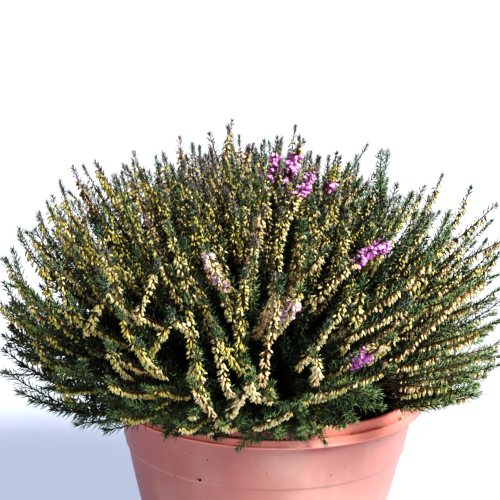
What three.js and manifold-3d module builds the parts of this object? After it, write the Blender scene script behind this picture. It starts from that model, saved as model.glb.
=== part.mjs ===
// Winter heath in a terracotta-coloured bowl pot.
// Millimetres, +Z up. The origin is the centre of the pot's underside, which stands on the plane z = 0.
// The front of the plant faces -Y, and +X is to the right.

import * as THREE from 'three';
import { mergeVertices } from 'three/addons/utils/BufferGeometryUtils.js';
import Module from 'manifold-3d';

const wasm = await Module();
wasm.setup();

// Pot
const POT_HEIGHT = 128;
const RIM_RADIUS = 119;
const COLLAR_RADIUS = 115.4;
const COLLAR_HEIGHT = 7.2;
const FLANGE_HEIGHT = 6.6;
const SHOULDER_Z = 79;
const SHOULDER_STEP = 1.3;
const SHOULDER_RADIUS = 103.9;
const NECK_RADIUS = 111;
const WALL_TAPER = 0.2;
const WALL_CURVE = 0.0007;
const WALL_THICKNESS = 2.5;
const FLOOR_THICKNESS = 3.2;
const FOOT_ROUND = 4;
const LIP_THICKNESS = 3.2;
const WALL_RINGS = [22, 41, 60];
const LINER_RINGS = [54, 28];
const POT_SEGMENTS = 28;
const DRAIN_COUNT = 8;
const DRAIN_RADIUS = 4;
const DRAIN_CIRCLE = 44;
const DRAIN_SIDES = 8;
const CHANNEL_WIDTH = 6;
const CHANNEL_DEPTH = 1.6;

// Compost
const SOIL_EDGE_Z = 110;
const SOIL_CROWN_Z = 113;
const SOIL_SHELF_Z = 112.2;
const SOIL_SHELF_RADIUS = 70;
const FIT_GAP = 0.3;
const HOLE_GAP = 1;
const ROOT_DEPTH = 32;

// Dry twig. Each station is a share of its height, its bow to the right and its share of the radius:
// the second one is a knot.
const TWIG_FOOT = [97, -21];
const TWIG_TOP = [83, -20, 161];
const TWIG_RADIUS = 1.1;
const TWIG_DEPTH = 24;
const TWIG_SIDES = 5;
const TWIG_KNOT = 1.7;
const TWIG_STATIONS = [
  [0.09, 1.9, 0.9], [0.14, 2.1, TWIG_KNOT], [0.19, 1.9, 0.9], [0.55, 0.6, 0.85], [1, 0, 0.6],
];

// Dome of foliage: the surface that the shoot tips reach
const DOME_CENTRE_Z = 190;
const DOME_RADIUS = 200;
const DOME_RISE = 126;
const DOME_DROP = 100;
const DOME_POWER = 2.4;

// Stems spread from the crown of the plant: up to a shoulder, outward, and up again at the tip
const CROWN_RADIUS = 58;
const LOWEST_ELEVATION = -38;
const STEM_RADIUS = 3.2;
const STEM_SIDES = 6;
const STEM_END = 0.17;
const SHOULDER_OUT = 0.2;
const SHOULDER_UP = 46;
const SHOULDER_LIFT = 42;
const TIP_PULL = 0.38;
const LEVEL_RISE = 34;

// Shoots: shares of the way from the compost to the tip at which one forks off its branch,
// where its solid starts inside the branch and where a spray sits on its stub
const SHOOT_RADIUS = 1.35;
const FORK_START = 0.15;
const FORK_POWER = 0.8;
const SHOOT_START = 0.46;
const SPRAY_START = 0.74;
const LATEST_START = 0.84;
const PATH_STEPS = 48;

// Dense heart of each branch: how far along the branch, and the share of the branch's room it fills
const HEART_STATIONS = [[0.13, 0.3], [0.3, 0.64], [0.54, 0.76], [0.68, 0.6]];
const HEART_TOP = 0.73;
const HEART_BARE = 0.4;
const HEART_TWIG = 15;
const HEART_TWIG_ROOM = 3;
const HEART_RIDGE_ROOM = 2;
const HEART_FOOT_BACK = 0.02;

// Needles, buds and flowers, at true size
const NEEDLE_LENGTH = 8;
const NEEDLE_LEAN = 42;
const TIP_LEAN = 24;
const SHORT_NEEDLE = 0.6;
const NEEDLE_ROOT = 1.7;
const NEEDLE_ROOM = 0.9;
const BUD_LENGTH = 5.6;
const BUD_BELLY = 1.5;
const FLOWER_LENGTH = 6;
const FLOWER_BELLY = 1.35;
const BUD_DROP = 0.75;
const BUD_ROOM = 1.6;
const HIGHEST_BUD = 0.35;
const CLUSTER_ROOT = 2.6;
const CLUSTER_WIDTH = 1.15;
const TIP_BARE = 3.5;
const SPRAY_BARE = 5;
const WHORL_PITCH = 10.5;
const LEAFY_PITCH = 12.5;
const TUFT_WHORLS = 2;
const FLOWER_WHORLS = 4;
const FUSED_FLOWER_WHORLS = 3;
const WHORL_TURN = 60;
const STEM_TURN = 30;
const TANGENT_STEP = 2;

// Room that the pieces leave one another, and how far off a piece can still be in the way
const CLEARANCE = 0.5;
const NEAR = 26;
const CENTRE_LINE_STEP = 4;

// Tiers of branches: elevation from and to, number of branches round the plant, turn of the first one
const TIERS = [
  { name: 'low', from: -38, to: 12, count: 8, turn: 10 },
  { name: 'middle', from: 12, to: 48, count: 6, turn: 17.5 },
  { name: 'crown', from: 48, to: 82, count: 4, turn: 0 },
];

// Sprays with a place of their own on the plant.
// Azimuth and elevation of the tip on the dome, reach (1 is the dome's face), rise and swing of the tip.
const SPRAYS = [
  ['bud', 177, 7, 1.01, 54, 0],
  ['bud', -167, 2, 1.02, 50, -8],
  ['bud', 175, 18, 0.92, 68, 0],
  ['bud', 171, 30, 0.94, 68, 0],
  ['bud', 163, 46, 0.95, 64, 0],
  ['bud', 150, 52, 0.92, 76, 0],
  ['bud', 138, 63, 0.93, 80, 0],
  ['bud', 143, 82, 1.03, 86, 0],
  ['peach', -170, 87, 0.93, 82, 150],
  ['pink', -84, 87, 0.97, 68, 0],
  ['pink', -48, 84, 1, 62, 0],
  ['pink', -36, 76, 0.94, 54, -6],
  ['pale', 11, 74, 0.83, 72, -16],
  ['bud', 11, 50, 0.83, 70, 0],
  ['bud', 4, 43, 0.95, 70, 0],
  ['bud', 0, 35, 0.97, 48, 0],
  ['bud', -7, 25, 0.95, 38, 0],
  ['bud', -13, -5, 0.9, 30, 0],
  ['bud', -21, -15, 0.88, 22, 0],
  ['bud', -17, -31, 0.92, 8, 0],
  ['pink', -60, 40, 0.97, 35, 6],
  ['pink', -65, 9, 0.97, 30, 18],
  ['pale', -107, 36, 0.95, 43, -4],
  ['pale', -84, 25, 0.95, 55, -14],
  ['peach', -93, 52, 0.97, 50, 24],
  ['bud', -145, 8, 0.98, 44, 2],
  ['bud', -127, 19, 0.98, 54, 30],
  ['bud', -133, 27, 0.88, 40, -6],
  ['bud', -117, 6, 0.98, 42, 4],
  ['bud', -124, -5, 0.98, 36, 10],
  ['bud', -94, 0, 0.95, 40, 18],
  ['bud', -106, -15, 0.93, 32, -6],
  ['bud', -101, 11, 0.95, 53, 0],
  ['peach', -88, 28, 0.98, 66, 18],
  ['bud', -82, 7, 0.97, 38, -28],
  ['peach', -95, 41, 0.95, 54, 0],
  ['bud', -77, 37, 0.97, 45, 10],
  ['bud', -72, -2, 0.91, 30, 26],
  ['bud', -156, 35, 0.97, 56, 30],
];

// Shoots with a place of their own that grow in one piece with their branch
const SIDE_SHOOTS = [
  ['leaf', -170, -24, 1.1, 24, 0],
  ['dead', 166, 41, 0.98, 76, 0],
  ['leaf', 130, 70, 0.93, 82, 0],
  ['leaf', 17, 64, 0.81, 46, -8],
  ['leaf', 26, 63, 0.92, 82, 0],
  ['leaf', -10, 6, 0.88, 40, 0],
  ['leaf', -98, -44, 0.92, -12, 6],
  ['leaf', -144, -38, 0.99, -6, 6],
  ['bud', -105, 2, 0.92, 36, 10],
  ['bud', -112, 15, 0.93, 43, 24],
  ['bud', -51, 17, 0.97, 32, -8],
];

// Further shoots are spread over the dome on a golden-angle spiral where there is room
const SPREAD_COUNT = 68;
const SPREAD_ROOM = 50;
const SPREAD_LOWEST = -0.62;
const SPREAD_SEED = 7;
const LEAFY_BELOW = -22;
const GOLDEN_ANGLE = 137.508;
const LEAFY_SHARE = 0.3;

const DEGREE = Math.PI / 180;
const UP = new THREE.Vector3(0, 0, 1);

// Materials

const finish = (color, roughness) => new THREE.MeshStandardMaterial({ color, roughness, metalness: 0 });

const materials = {
  pot: finish(0xc97f72, 0.5),
  soil: finish(0x2c211a, 0.95),
  twig: finish(0xb8a58e, 0.85),
  branch: finish(0x3d5a34, 0.7),
  bud: finish(0xc9c25e, 0.6),
  peach: finish(0xdfa777, 0.6),
  pink: finish(0xd77fcf, 0.6),
  pale: finish(0xcfa8b8, 0.6),
};

// Seeded draws

function seededDraw(seed) {
  let state = seed >>> 0;
  return () => {
    state = (Math.imul(state, 1664525) + 1013904223) >>> 0;
    return state / 4294967296;
  };
}

// Solids

function toSolid(geometry) {
  const bare = geometry.clone();
  bare.deleteAttribute('normal');
  bare.deleteAttribute('uv');
  const merged = mergeVertices(bare, 1e-4);
  const corners = merged.index.array;
  const kept = [];
  for (let i = 0; i < corners.length; i += 3) {
    const [a, b, c] = [corners[i], corners[i + 1], corners[i + 2]];
    if (a !== b && b !== c && c !== a) kept.push(a, b, c);
  }
  const mesh = new wasm.Mesh({
    numProp: 3,
    vertProperties: new Float32Array(merged.attributes.position.array),
    triVerts: new Uint32Array(kept),
  });
  return new wasm.Manifold(mesh);
}

function toGeometry(solid) {
  const { vertProperties, triVerts } = solid.getMesh();
  const geometry = new THREE.BufferGeometry();
  geometry.setAttribute('position', new THREE.BufferAttribute(new Float32Array(vertProperties), 3));
  geometry.setIndex(new THREE.BufferAttribute(new Uint32Array(triVerts), 1));
  geometry.computeVertexNormals();
  return geometry;
}

function meshOf(points, triangles) {
  const geometry = new THREE.BufferGeometry();
  const flat = points.flatMap((point) => [point.x, point.y, point.z]);
  geometry.setAttribute('position', new THREE.Float32BufferAttribute(flat, 3));
  geometry.setIndex(triangles.flat());
  geometry.computeVertexNormals();
  return geometry;
}

// Triangles between two rings of corners that run the same way round
function bandTriangles(low, high) {
  return low.flatMap((corner, i) => {
    const next = (i + 1) % low.length;
    return [[corner, low[next], high[i]], [low[next], high[next], high[i]]];
  });
}

// A solid whose faces point inward is turned inside out
function outwardSolid(points, triangles) {
  const solid = toSolid(meshOf(points, triangles));
  if (solid.volume() > 0) return solid;
  return toSolid(meshOf(points, triangles.map(([a, b, c]) => [a, c, b])));
}

// Solid through rings of points, flat at both ends
function loft(ringPoints) {
  const sides = ringPoints[0].length;
  const rings = ringPoints.map((_, k) => Array.from({ length: sides }, (_unused, i) => k * sides + i));
  const triangles = rings.slice(1).flatMap((ring, k) => bandTriangles(rings[k], ring));
  const first = rings[0];
  const last = rings[rings.length - 1];
  for (let i = 1; i < sides - 1; i += 1) {
    triangles.push([first[0], first[i + 1], first[i]], [last[0], last[i], last[i + 1]]);
  }
  return outwardSolid(ringPoints.flat(), triangles);
}

const onCircle = (radius, azimuth, z) =>
  new THREE.Vector3(radius * Math.cos(azimuth * DEGREE), radius * Math.sin(azimuth * DEGREE), z);

// Solid through level rings round a list of [centre, radius]
function uprightTube(stations, sides) {
  return loft(stations.map(([centre, radius]) =>
    Array.from({ length: sides }, (_, i) => onCircle(radius, (360 * i) / sides, 0).add(centre))));
}

function turned(profile, segments) {
  const points = profile.map(([radius, height]) => new THREE.Vector2(radius, height));
  return toSolid(new THREE.LatheGeometry(points, segments).rotateX(Math.PI / 2));
}

function uprightPrism(radius, bottom, top, sides) {
  const geometry = new THREE.CylinderGeometry(radius, radius, top - bottom, sides);
  return toSolid(geometry.rotateX(Math.PI / 2).translate(0, 0, (top + bottom) / 2));
}

// Pot

function wallRadius(z) {
  if (z >= SHOULDER_Z) {
    const climb = (z - SHOULDER_Z) / (POT_HEIGHT - COLLAR_HEIGHT - FLANGE_HEIGHT - SHOULDER_Z);
    return THREE.MathUtils.lerp(SHOULDER_RADIUS + SHOULDER_STEP, NECK_RADIUS, Math.min(climb, 1));
  }
  const depth = SHOULDER_Z - z;
  return SHOULDER_RADIUS - WALL_TAPER * depth - WALL_CURVE * depth * depth;
}

function potProfile() {
  const flangeTop = POT_HEIGHT - COLLAR_HEIGHT;
  const flangeFoot = flangeTop - FLANGE_HEIGHT;
  const wallHeights = [FOOT_ROUND, ...WALL_RINGS, SHOULDER_Z - 0.5];
  return [
    [0, 0],
    [wallRadius(0) - FOOT_ROUND, 0],
    [wallRadius(0) - 0.8, 1.2],
    ...wallHeights.map((z) => [wallRadius(z), z]),
    [wallRadius(SHOULDER_Z), SHOULDER_Z + 0.3],
    [NECK_RADIUS, flangeFoot + 0.6],
    [RIM_RADIUS - 1.2, flangeFoot - 0.4],
    [RIM_RADIUS, flangeFoot + 1.2],
    [RIM_RADIUS - 0.3, flangeTop - 0.6],
    [RIM_RADIUS - 1, flangeTop],
    [COLLAR_RADIUS + 0.2, flangeTop - 0.3],
    [COLLAR_RADIUS, POT_HEIGHT - 0.8],
    [COLLAR_RADIUS - 0.9, POT_HEIGHT],
    [COLLAR_RADIUS - LIP_THICKNESS + 0.8, POT_HEIGHT],
    [COLLAR_RADIUS - LIP_THICKNESS, POT_HEIGHT - 1],
    ...innerProfile(),
  ];
}

function innerProfile() {
  const heights = [SOIL_EDGE_Z + 2, SHOULDER_Z, ...LINER_RINGS, FLOOR_THICKNESS + FOOT_ROUND];
  return [
    ...heights.map((z) => [wallRadius(z) - WALL_THICKNESS, z]),
    [wallRadius(FLOOR_THICKNESS) - WALL_THICKNESS - FOOT_ROUND, FLOOR_THICKNESS],
    [0, FLOOR_THICKNESS],
  ];
}

function buildPot() {
  let pot = turned(potProfile(), POT_SEGMENTS);
  const reach = wallRadius(0) + 10 - DRAIN_CIRCLE;
  for (let i = 0; i < DRAIN_COUNT; i += 1) {
    const angle = ((i + 0.5) * 360) / DRAIN_COUNT;
    const drain = uprightPrism(DRAIN_RADIUS, -1, FLOOR_THICKNESS + 1, DRAIN_SIDES);
    const hole = drain.translate([DRAIN_CIRCLE, 0, 0]);
    const groove = new THREE.BoxGeometry(reach, CHANNEL_WIDTH, CHANNEL_DEPTH * 2);
    const channel = toSolid(groove.translate(DRAIN_CIRCLE + reach / 2, 0, 0));
    pot = pot.subtract(hole.rotate([0, 0, angle])).subtract(channel.rotate([0, 0, angle]));
  }
  return toGeometry(pot);
}

// Foliage paths

// Point of the dome's face at an elevation, as radius and height
function domePoint(elevation, reach) {
  const across = Math.abs(Math.cos(elevation * DEGREE)) ** (2 / DOME_POWER);
  const along = Math.abs(Math.sin(elevation * DEGREE)) ** (2 / DOME_POWER);
  const height = elevation > 0 ? DOME_RISE : -DOME_DROP;
  return [DOME_RADIUS * reach * across, DOME_CENTRE_Z + height * reach * along];
}

const usualRise = (elevation) => LEVEL_RISE + (elevation > 0 ? 0.6 : 0.9) * elevation;
const footRadius = (elevation) => (CROWN_RADIUS * (90 - elevation)) / (90 - LOWEST_ELEVATION);

// Bezier curve from the compost to a tip on the dome
function stemCurve({ azimuth, elevation, reach, rise, swing }) {
  const [tipRadius, tipZ] = domePoint(elevation, reach);
  const foot = footRadius(elevation);
  const tip = onCircle(tipRadius, azimuth, tipZ);
  const start = onCircle(foot, azimuth, SOIL_CROWN_Z);
  const shoulderZ = SOIL_CROWN_Z + SHOULDER_UP + SHOULDER_LIFT * Math.max(0, Math.sin(elevation * DEGREE));
  const shoulder = onCircle(foot + SHOULDER_OUT * (tipRadius - foot), azimuth, shoulderZ);
  const pull = TIP_PULL * start.distanceTo(tip);
  const heading = onCircle(Math.cos(rise * DEGREE), azimuth + swing, Math.sin(rise * DEGREE));
  const handle = tip.clone().addScaledVector(heading, -pull);
  return new THREE.CubicBezierCurve3(start, shoulder, handle, tip);
}

// Plain line of a branch towards a direction near its middle
function branchLine(branch, turn, elevation, reach) {
  const azimuth = branch.azimuth + turn;
  return stemCurve({ azimuth, elevation, reach, rise: usualRise(elevation), swing: 0 });
}

// A shoot leaves its branch's axis little by little
function forkedPoint(axis, own, s) {
  const share = Math.max(0, (s - FORK_START) / (1 - FORK_START)) ** FORK_POWER;
  return axis.getPoint(s).lerp(own.getPoint(s), share);
}

// Polyline with its running length
function measuredPath(points) {
  const lengths = [0];
  for (let i = 1; i < points.length; i += 1) {
    lengths.push(lengths[i - 1] + points[i].distanceTo(points[i - 1]));
  }
  return { points, lengths, total: lengths[lengths.length - 1] };
}

function shootPath(branch, shoot, from) {
  const own = stemCurve(shoot);
  return measuredPath(Array.from({ length: PATH_STEPS + 1 }, (_, i) =>
    forkedPoint(branch.axis, own, THREE.MathUtils.lerp(from, 1, i / PATH_STEPS))));
}

function pathPoint(path, distance) {
  let i = 1;
  while (i < path.lengths.length - 1 && path.lengths[i] < distance) i += 1;
  const share = (distance - path.lengths[i - 1]) / (path.lengths[i] - path.lengths[i - 1]);
  return path.points[i - 1].clone().lerp(path.points[i], share);
}

function pathTangent(path, distance) {
  const before = pathPoint(path, Math.max(0, distance - TANGENT_STEP));
  const after = pathPoint(path, Math.min(path.total, distance + TANGENT_STEP));
  return after.sub(before).normalize();
}

// Clear room between pieces

const placed = [];
const centreLines = [];

// Shortest distance between two straight pieces
function segmentDistance(p1, q1, p2, q2) {
  const d1 = q1.clone().sub(p1);
  const d2 = q2.clone().sub(p2);
  const r = p1.clone().sub(p2);
  const a = d1.dot(d1);
  const e = d2.dot(d2);
  const f = d2.dot(r);
  const c = d1.dot(r);
  const b = d1.dot(d2);
  const scale = a * e - b * b;
  let s = scale > 1e-9 ? THREE.MathUtils.clamp((b * f - c * e) / scale, 0, 1) : 0;
  let t = (b * s + f) / e;
  if (t < 0) {
    t = 0;
    s = THREE.MathUtils.clamp(-c / a, 0, 1);
  } else if (t > 1) {
    t = 1;
    s = THREE.MathUtils.clamp((b - c) / a, 0, 1);
  }
  return p1.clone().addScaledVector(d1, s).distanceTo(p2.clone().addScaledVector(d2, t));
}

// Whether a needle, bud or twig from root to apex stays clear of every other piece
function hasRoom(owner, root, apex, thickness) {
  const clear = (other) => {
    if (other.owner === owner) return true;
    if (other.from.distanceTo(root) > NEAR) return true;
    return segmentDistance(root, apex, other.from, other.to) > thickness + other.thickness + CLEARANCE;
  };
  return placed.every(clear) && centreLines.every(clear);
}

// Needled shoots

const firstSide = () => new THREE.Vector3(0.35, 0.8, 0.2).normalize();

// A ring of three corners round the shoot's axis, turned a little from ring to ring
function shootRing(path, distance, radius, turn, frame) {
  const tangent = pathTangent(path, distance);
  const side = frame.side.clone().addScaledVector(tangent, -frame.side.dot(tangent)).normalize();
  frame.side = side;
  const other = tangent.clone().cross(side);
  const centre = pathPoint(path, distance);
  return {
    tangent,
    corners: [0, 1, 2].map((i) => {
      const angle = (turn + 120 * i) * DEGREE;
      const out = side.clone().multiplyScalar(Math.cos(angle)).addScaledVector(other, Math.sin(angle));
      return centre.clone().addScaledVector(out, radius);
    }),
  };
}

// Whorls of a shoot from its root to its tip: distance of each and what it carries
function whorlsOf(total, kind, startBare, flowerWhorls) {
  const whorls = [];
  const flowering = kind !== 'leaf' && kind !== 'dead';
  const pitch = flowering ? WHORL_PITCH : LEAFY_PITCH;
  let distance = total - TIP_BARE - NEEDLE_ROOT;
  for (let i = 0; distance > startBare; i += 1) {
    const inFlower = flowering && i >= TUFT_WHORLS && i < TUFT_WHORLS + flowerWhorls;
    whorls.unshift({ distance, carries: inFlower ? kind : 'needle', tip: i === 0 });
    distance -= pitch;
  }
  return whorls;
}

function growShoot({ name: owner, path, kind }, { startBare, flowerWhorls }) {
  const points = [];
  const triangles = [];
  const frame = { side: firstSide() };
  const addRing = (ring) => ring.corners.map((corner) => points.push(corner) - 1);

  // A needle, a bud or a flower grows out of one facet of the band
  const grow = (whorl, tangent) => (corners, rear) => {
    const [p, q, r] = corners.map((index) => points[index]);
    const root = p.clone().add(q).add(r).divideScalar(3);
    const out = root.clone().sub(whorl.centre);
    out.addScaledVector(tangent, -out.dot(tangent)).normalize();
    const hanging = whorl.carries !== 'needle' && out.dot(UP) < HIGHEST_BUD;
    if (!hanging) {
      const lean = (whorl.tip ? TIP_LEAN : NEEDLE_LEAN) * DEGREE;
      const reach = out.clone().multiplyScalar(Math.sin(lean)).addScaledVector(tangent, Math.cos(lean));
      for (const length of [NEEDLE_LENGTH, NEEDLE_LENGTH * SHORT_NEEDLE]) {
        const apex = root.clone().addScaledVector(reach, length);
        if (hasRoom(owner, root, apex, NEEDLE_ROOM)) {
          placed.push({ owner, from: root, to: apex, thickness: NEEDLE_ROOM });
          const top = points.push(apex) - 1;
          for (let i = 0; i < 3; i += 1) triangles.push([corners[i], corners[(i + 1) % 3], top]);
          return;
        }
      }
      triangles.push(corners);
      return;
    }
    const inBloom = whorl.carries === 'pink';
    const length = inBloom ? FLOWER_LENGTH : BUD_LENGTH;
    const belly = inBloom ? FLOWER_BELLY : BUD_BELLY;
    const reach = out.clone().addScaledVector(UP, -BUD_DROP).normalize();
    const slant = reach.dot(tangent);
    if (slant < -BUD_DROP) reach.addScaledVector(tangent, -BUD_DROP - slant).normalize();
    const apex = root.clone().addScaledVector(reach, length);
    if (!hasRoom(owner, root, apex, BUD_ROOM)) {
      triangles.push(corners);
      return;
    }
    placed.push({ owner, from: root, to: apex, thickness: BUD_ROOM });
    const bulge = tangent.clone().multiplyScalar(rear ? -1 : 1);
    bulge.addScaledVector(reach, -bulge.dot(reach)).normalize();
    const middle = root.clone().addScaledVector(reach, length * 0.5).addScaledVector(bulge, belly);
    const top = points.push(apex) - 1;
    const side = points.push(middle) - 1;
    // The belly stands on the facet's rear edge, or on its front edge
    const [a, b, c] = rear ? corners : [corners[1], corners[2], corners[0]];
    triangles.push([a, b, side], [b, top, side], [side, top, a], [b, c, top], [c, a, top]);
  };

  let turn = 0;
  let ring = addRing(shootRing(path, 0, SHOOT_RADIUS, turn, frame));
  triangles.push([ring[2], ring[1], ring[0]]);
  for (const whorl of whorlsOf(path.total, kind, startBare, flowerWhorls)) {
    const clustered = whorl.carries !== 'needle';
    const width = clustered ? SHOOT_RADIUS * CLUSTER_WIDTH : SHOOT_RADIUS;
    const depth = clustered ? CLUSTER_ROOT : NEEDLE_ROOT;
    turn += STEM_TURN;
    const low = addRing(shootRing(path, whorl.distance, width, turn, frame));
    triangles.push(...bandTriangles(ring, low));
    turn += WHORL_TURN;
    const upper = shootRing(path, whorl.distance + depth, width, turn, frame);
    const high = addRing(upper);
    whorl.centre = pathPoint(path, whorl.distance + depth / 2);
    const raise = grow(whorl, upper.tangent);
    bandTriangles(low, high).forEach((corners, i) => raise(corners, i % 2 === 0));
    ring = high;
  }
  const tip = points.push(pathPoint(path, path.total)) - 1;
  for (let i = 0; i < 3; i += 1) triangles.push([ring[i], ring[(i + 1) % 3], tip]);
  return toSolid(meshOf(points, triangles));
}

// The bare stub of a branch on which a spray sits
function buildStub(spray) {
  const ends = [0, spray.bare - FIT_GAP];
  const path = measuredPath(ends.map((distance) => pathPoint(spray.whole, distance)));
  const frame = { side: firstSide() };
  return loft([0, path.total].map((distance) => shootRing(path, distance, SHOOT_RADIUS, 0, frame).corners));
}

// Branches

function makeBranches() {
  const branches = [];
  for (const tier of TIERS) {
    const width = 360 / tier.count;
    for (let i = 0; i < tier.count; i += 1) {
      const branch = { ...tier, name: `branch_${tier.name}_${i + 1}`, azimuth: tier.turn + i * width, width };
      branch.axis = branchLine(branch, 0, (tier.from + tier.to) / 2, 1);
      branch.shoots = [];
      branches.push(branch);
    }
  }
  return branches;
}

// The branch whose share of the dome holds a direction
function branchOf(branches, azimuth, elevation) {
  const top = TIERS[TIERS.length - 1];
  const tier = TIERS.find((one) => elevation < one.to) ?? top;
  return branches
    .filter((branch) => branch.from === tier.from)
    .reduce((best, branch) => {
      const away = (one) => Math.abs(THREE.MathUtils.euclideanModulo(azimuth - one.azimuth + 180, 360) - 180);
      return away(branch) < away(best) ? branch : best;
    });
}

const meanReach = ({ shoots }) => shoots.reduce((sum, shoot) => sum + shoot.reach, 0) / shoots.length;

const describe = ([kind, azimuth, elevation, reach, rise, swing]) => ({
  kind, azimuth, elevation, reach, rise, swing,
});

function spreadShoots(taken) {
  const draw = seededDraw(SPREAD_SEED);
  const shoots = [];
  for (let i = 0; i < SPREAD_COUNT; i += 1) {
    const height = THREE.MathUtils.lerp(SPREAD_LOWEST, 1, (i + 0.5) / SPREAD_COUNT);
    const elevation = Math.asin(height) / DEGREE;
    const azimuth = i * GOLDEN_ANGLE;
    const [tilt, stretch, kindDraw, leanDraw] = [draw(), draw(), draw(), draw()];
    const kind = kindDraw < LEAFY_SHARE || elevation < LEAFY_BELOW ? 'leaf' : 'bud';
    const shoot = {
      kind,
      azimuth,
      elevation,
      reach: 0.9 + 0.1 * stretch,
      rise: usualRise(elevation) + 12 * (tilt - 0.5),
      swing: 16 * (leanDraw - 0.5),
    };
    const tip = stemCurve(shoot).v3;
    if (taken.every((other) => stemCurve(other).v3.distanceTo(tip) > SPREAD_ROOM)) shoots.push(shoot);
  }
  return shoots;
}

// The dense twiggy heart of a branch, which its shoots stand out of.
// Its outer facets are raised into short twigs that lean along the branch.
function buildHeart(branch) {
  const half = branch.width / 2;
  const edges = [
    [-half, branch.from], [0, branch.from], [half, branch.from],
    [half, branch.to], [0, branch.to], [-half, branch.to],
  ];
  const reach = meanReach(branch);
  const axis = branchLine(branch, 0, (branch.from + branch.to) / 2, reach);
  const curves = edges.map(([turn, elevation]) => branchLine(branch, turn, elevation, reach));
  const points = [];
  const triangles = [];
  const rings = HEART_STATIONS.map(([s, fill]) => {
    const centre = axis.getPoint(s);
    return curves.map((curve) => points.push(centre.clone().lerp(curve.getPoint(s), fill)) - 1);
  });
  const raise = (corners, s) => {
    const [a, b, c] = corners.map((index) => points[index]);
    const root = a.clone().add(b).add(c).divideScalar(3);
    const out = b.clone().sub(a).cross(c.clone().sub(a)).normalize();
    const lean = axis.getTangent(s).multiplyScalar(HEART_TWIG * 0.8).addScaledVector(out, HEART_TWIG * 0.6);
    const apex = root.clone().add(lean);
    const ridgesClear = [a, b, c].every((corner) => hasRoom(branch.name, corner, apex, HEART_RIDGE_ROOM));
    if (s < HEART_BARE || !ridgesClear || !hasRoom(branch.name, root, apex, 1.5 * HEART_TWIG_ROOM)) {
      triangles.push(corners);
      return;
    }
    placed.push({ owner: branch.name, from: root, to: apex, thickness: HEART_TWIG_ROOM });
    const top = points.push(apex) - 1;
    for (let i = 0; i < 3; i += 1) triangles.push([corners[i], corners[(i + 1) % 3], top]);
  };
  for (let k = 1; k < rings.length; k += 1) {
    bandTriangles(rings[k - 1], rings[k]).forEach((corners) => raise(corners, HEART_STATIONS[k][0]));
  }
  const foot = points.push(axis.getPoint(HEART_STATIONS[0][0] - HEART_FOOT_BACK)) - 1;
  const top = points.push(axis.getPoint(HEART_TOP)) - 1;
  const last = rings[rings.length - 1];
  edges.forEach((_, i) => {
    const next = (i + 1) % edges.length;
    triangles.push([rings[0][next], rings[0][i], foot]);
    raise([last[i], last[next], top], HEART_TOP);
  });
  return outwardSolid(points, triangles);
}

function buildStem(branch) {
  const foot = branch.axis.getPoint(0);
  return uprightTube([
    [foot.clone().setZ(SOIL_CROWN_Z - ROOT_DEPTH), STEM_RADIUS],
    [foot.clone().setZ(SOIL_CROWN_Z + 2), STEM_RADIUS],
    [branch.axis.getPoint(STEM_END), STEM_RADIUS * 0.85],
  ], STEM_SIDES);
}

function buildBranch(branch) {
  let solid = buildStem(branch).add(buildHeart(branch));
  for (const shoot of branch.shoots) {
    if (shoot.isSpray) {
      solid = solid.add(buildStub(shoot));
    } else {
      const style = { startBare: shoot.bare + SPRAY_BARE, flowerWhorls: FUSED_FLOWER_WHORLS };
      solid = solid.add(growShoot(shoot, style));
    }
  }
  return toGeometry(solid);
}

function buildSpray(spray) {
  return toGeometry(growShoot(spray, { startBare: SPRAY_BARE, flowerWhorls: FLOWER_WHORLS }));
}

// Compost

function buildSoil(branches) {
  const gap = FIT_GAP + 0.05;
  const wall = innerProfile().filter(([, z]) => z < SOIL_EDGE_Z && z > FLOOR_THICKNESS);
  const edgeRadius = wallRadius(SOIL_EDGE_Z) - WALL_THICKNESS - gap;
  const profile = [
    [0, FLOOR_THICKNESS + gap],
    [wallRadius(FLOOR_THICKNESS) - WALL_THICKNESS - FOOT_ROUND - gap, FLOOR_THICKNESS + gap],
    ...wall.reverse().map(([radius, z]) => [radius - gap, z]),
    [edgeRadius, SOIL_EDGE_Z],
    [SOIL_SHELF_RADIUS, SOIL_SHELF_Z],
    [0, SOIL_CROWN_Z],
  ];
  let soil = turned(profile, POT_SEGMENTS);
  const pit = (x, y, radius, depth) =>
    uprightPrism(radius + HOLE_GAP, SOIL_CROWN_Z - depth, SOIL_CROWN_Z + 5, STEM_SIDES).translate([x, y, 0]);
  for (const branch of branches) {
    const foot = branch.axis.getPoint(0);
    soil = soil.subtract(pit(foot.x, foot.y, STEM_RADIUS, ROOT_DEPTH + FIT_GAP));
  }
  return toGeometry(soil.subtract(pit(...TWIG_FOOT, TWIG_RADIUS, TWIG_DEPTH + FIT_GAP)));
}

// Dry twig

function twigStations() {
  const foot = new THREE.Vector3(...TWIG_FOOT, SOIL_CROWN_Z);
  const top = new THREE.Vector3(...TWIG_TOP);
  return [
    [foot.clone().setZ(SOIL_CROWN_Z - TWIG_DEPTH), TWIG_RADIUS],
    [foot.clone().setZ(SOIL_CROWN_Z + 1), TWIG_RADIUS],
    ...TWIG_STATIONS.map(([share, bow, width]) =>
      [foot.clone().lerp(top, share).add(new THREE.Vector3(bow, 0, 0)), TWIG_RADIUS * width]),
  ];
}

const buildTwig = () => toGeometry(uprightTube(twigStations(), TWIG_SIDES));

// Assembly

const branches = makeBranches();
const sprays = SPRAYS.map(describe);
const sideShoots = SIDE_SHOOTS.map(describe);
const shoots = [...sprays, ...sideShoots, ...spreadShoots([...sprays, ...sideShoots])];

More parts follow.
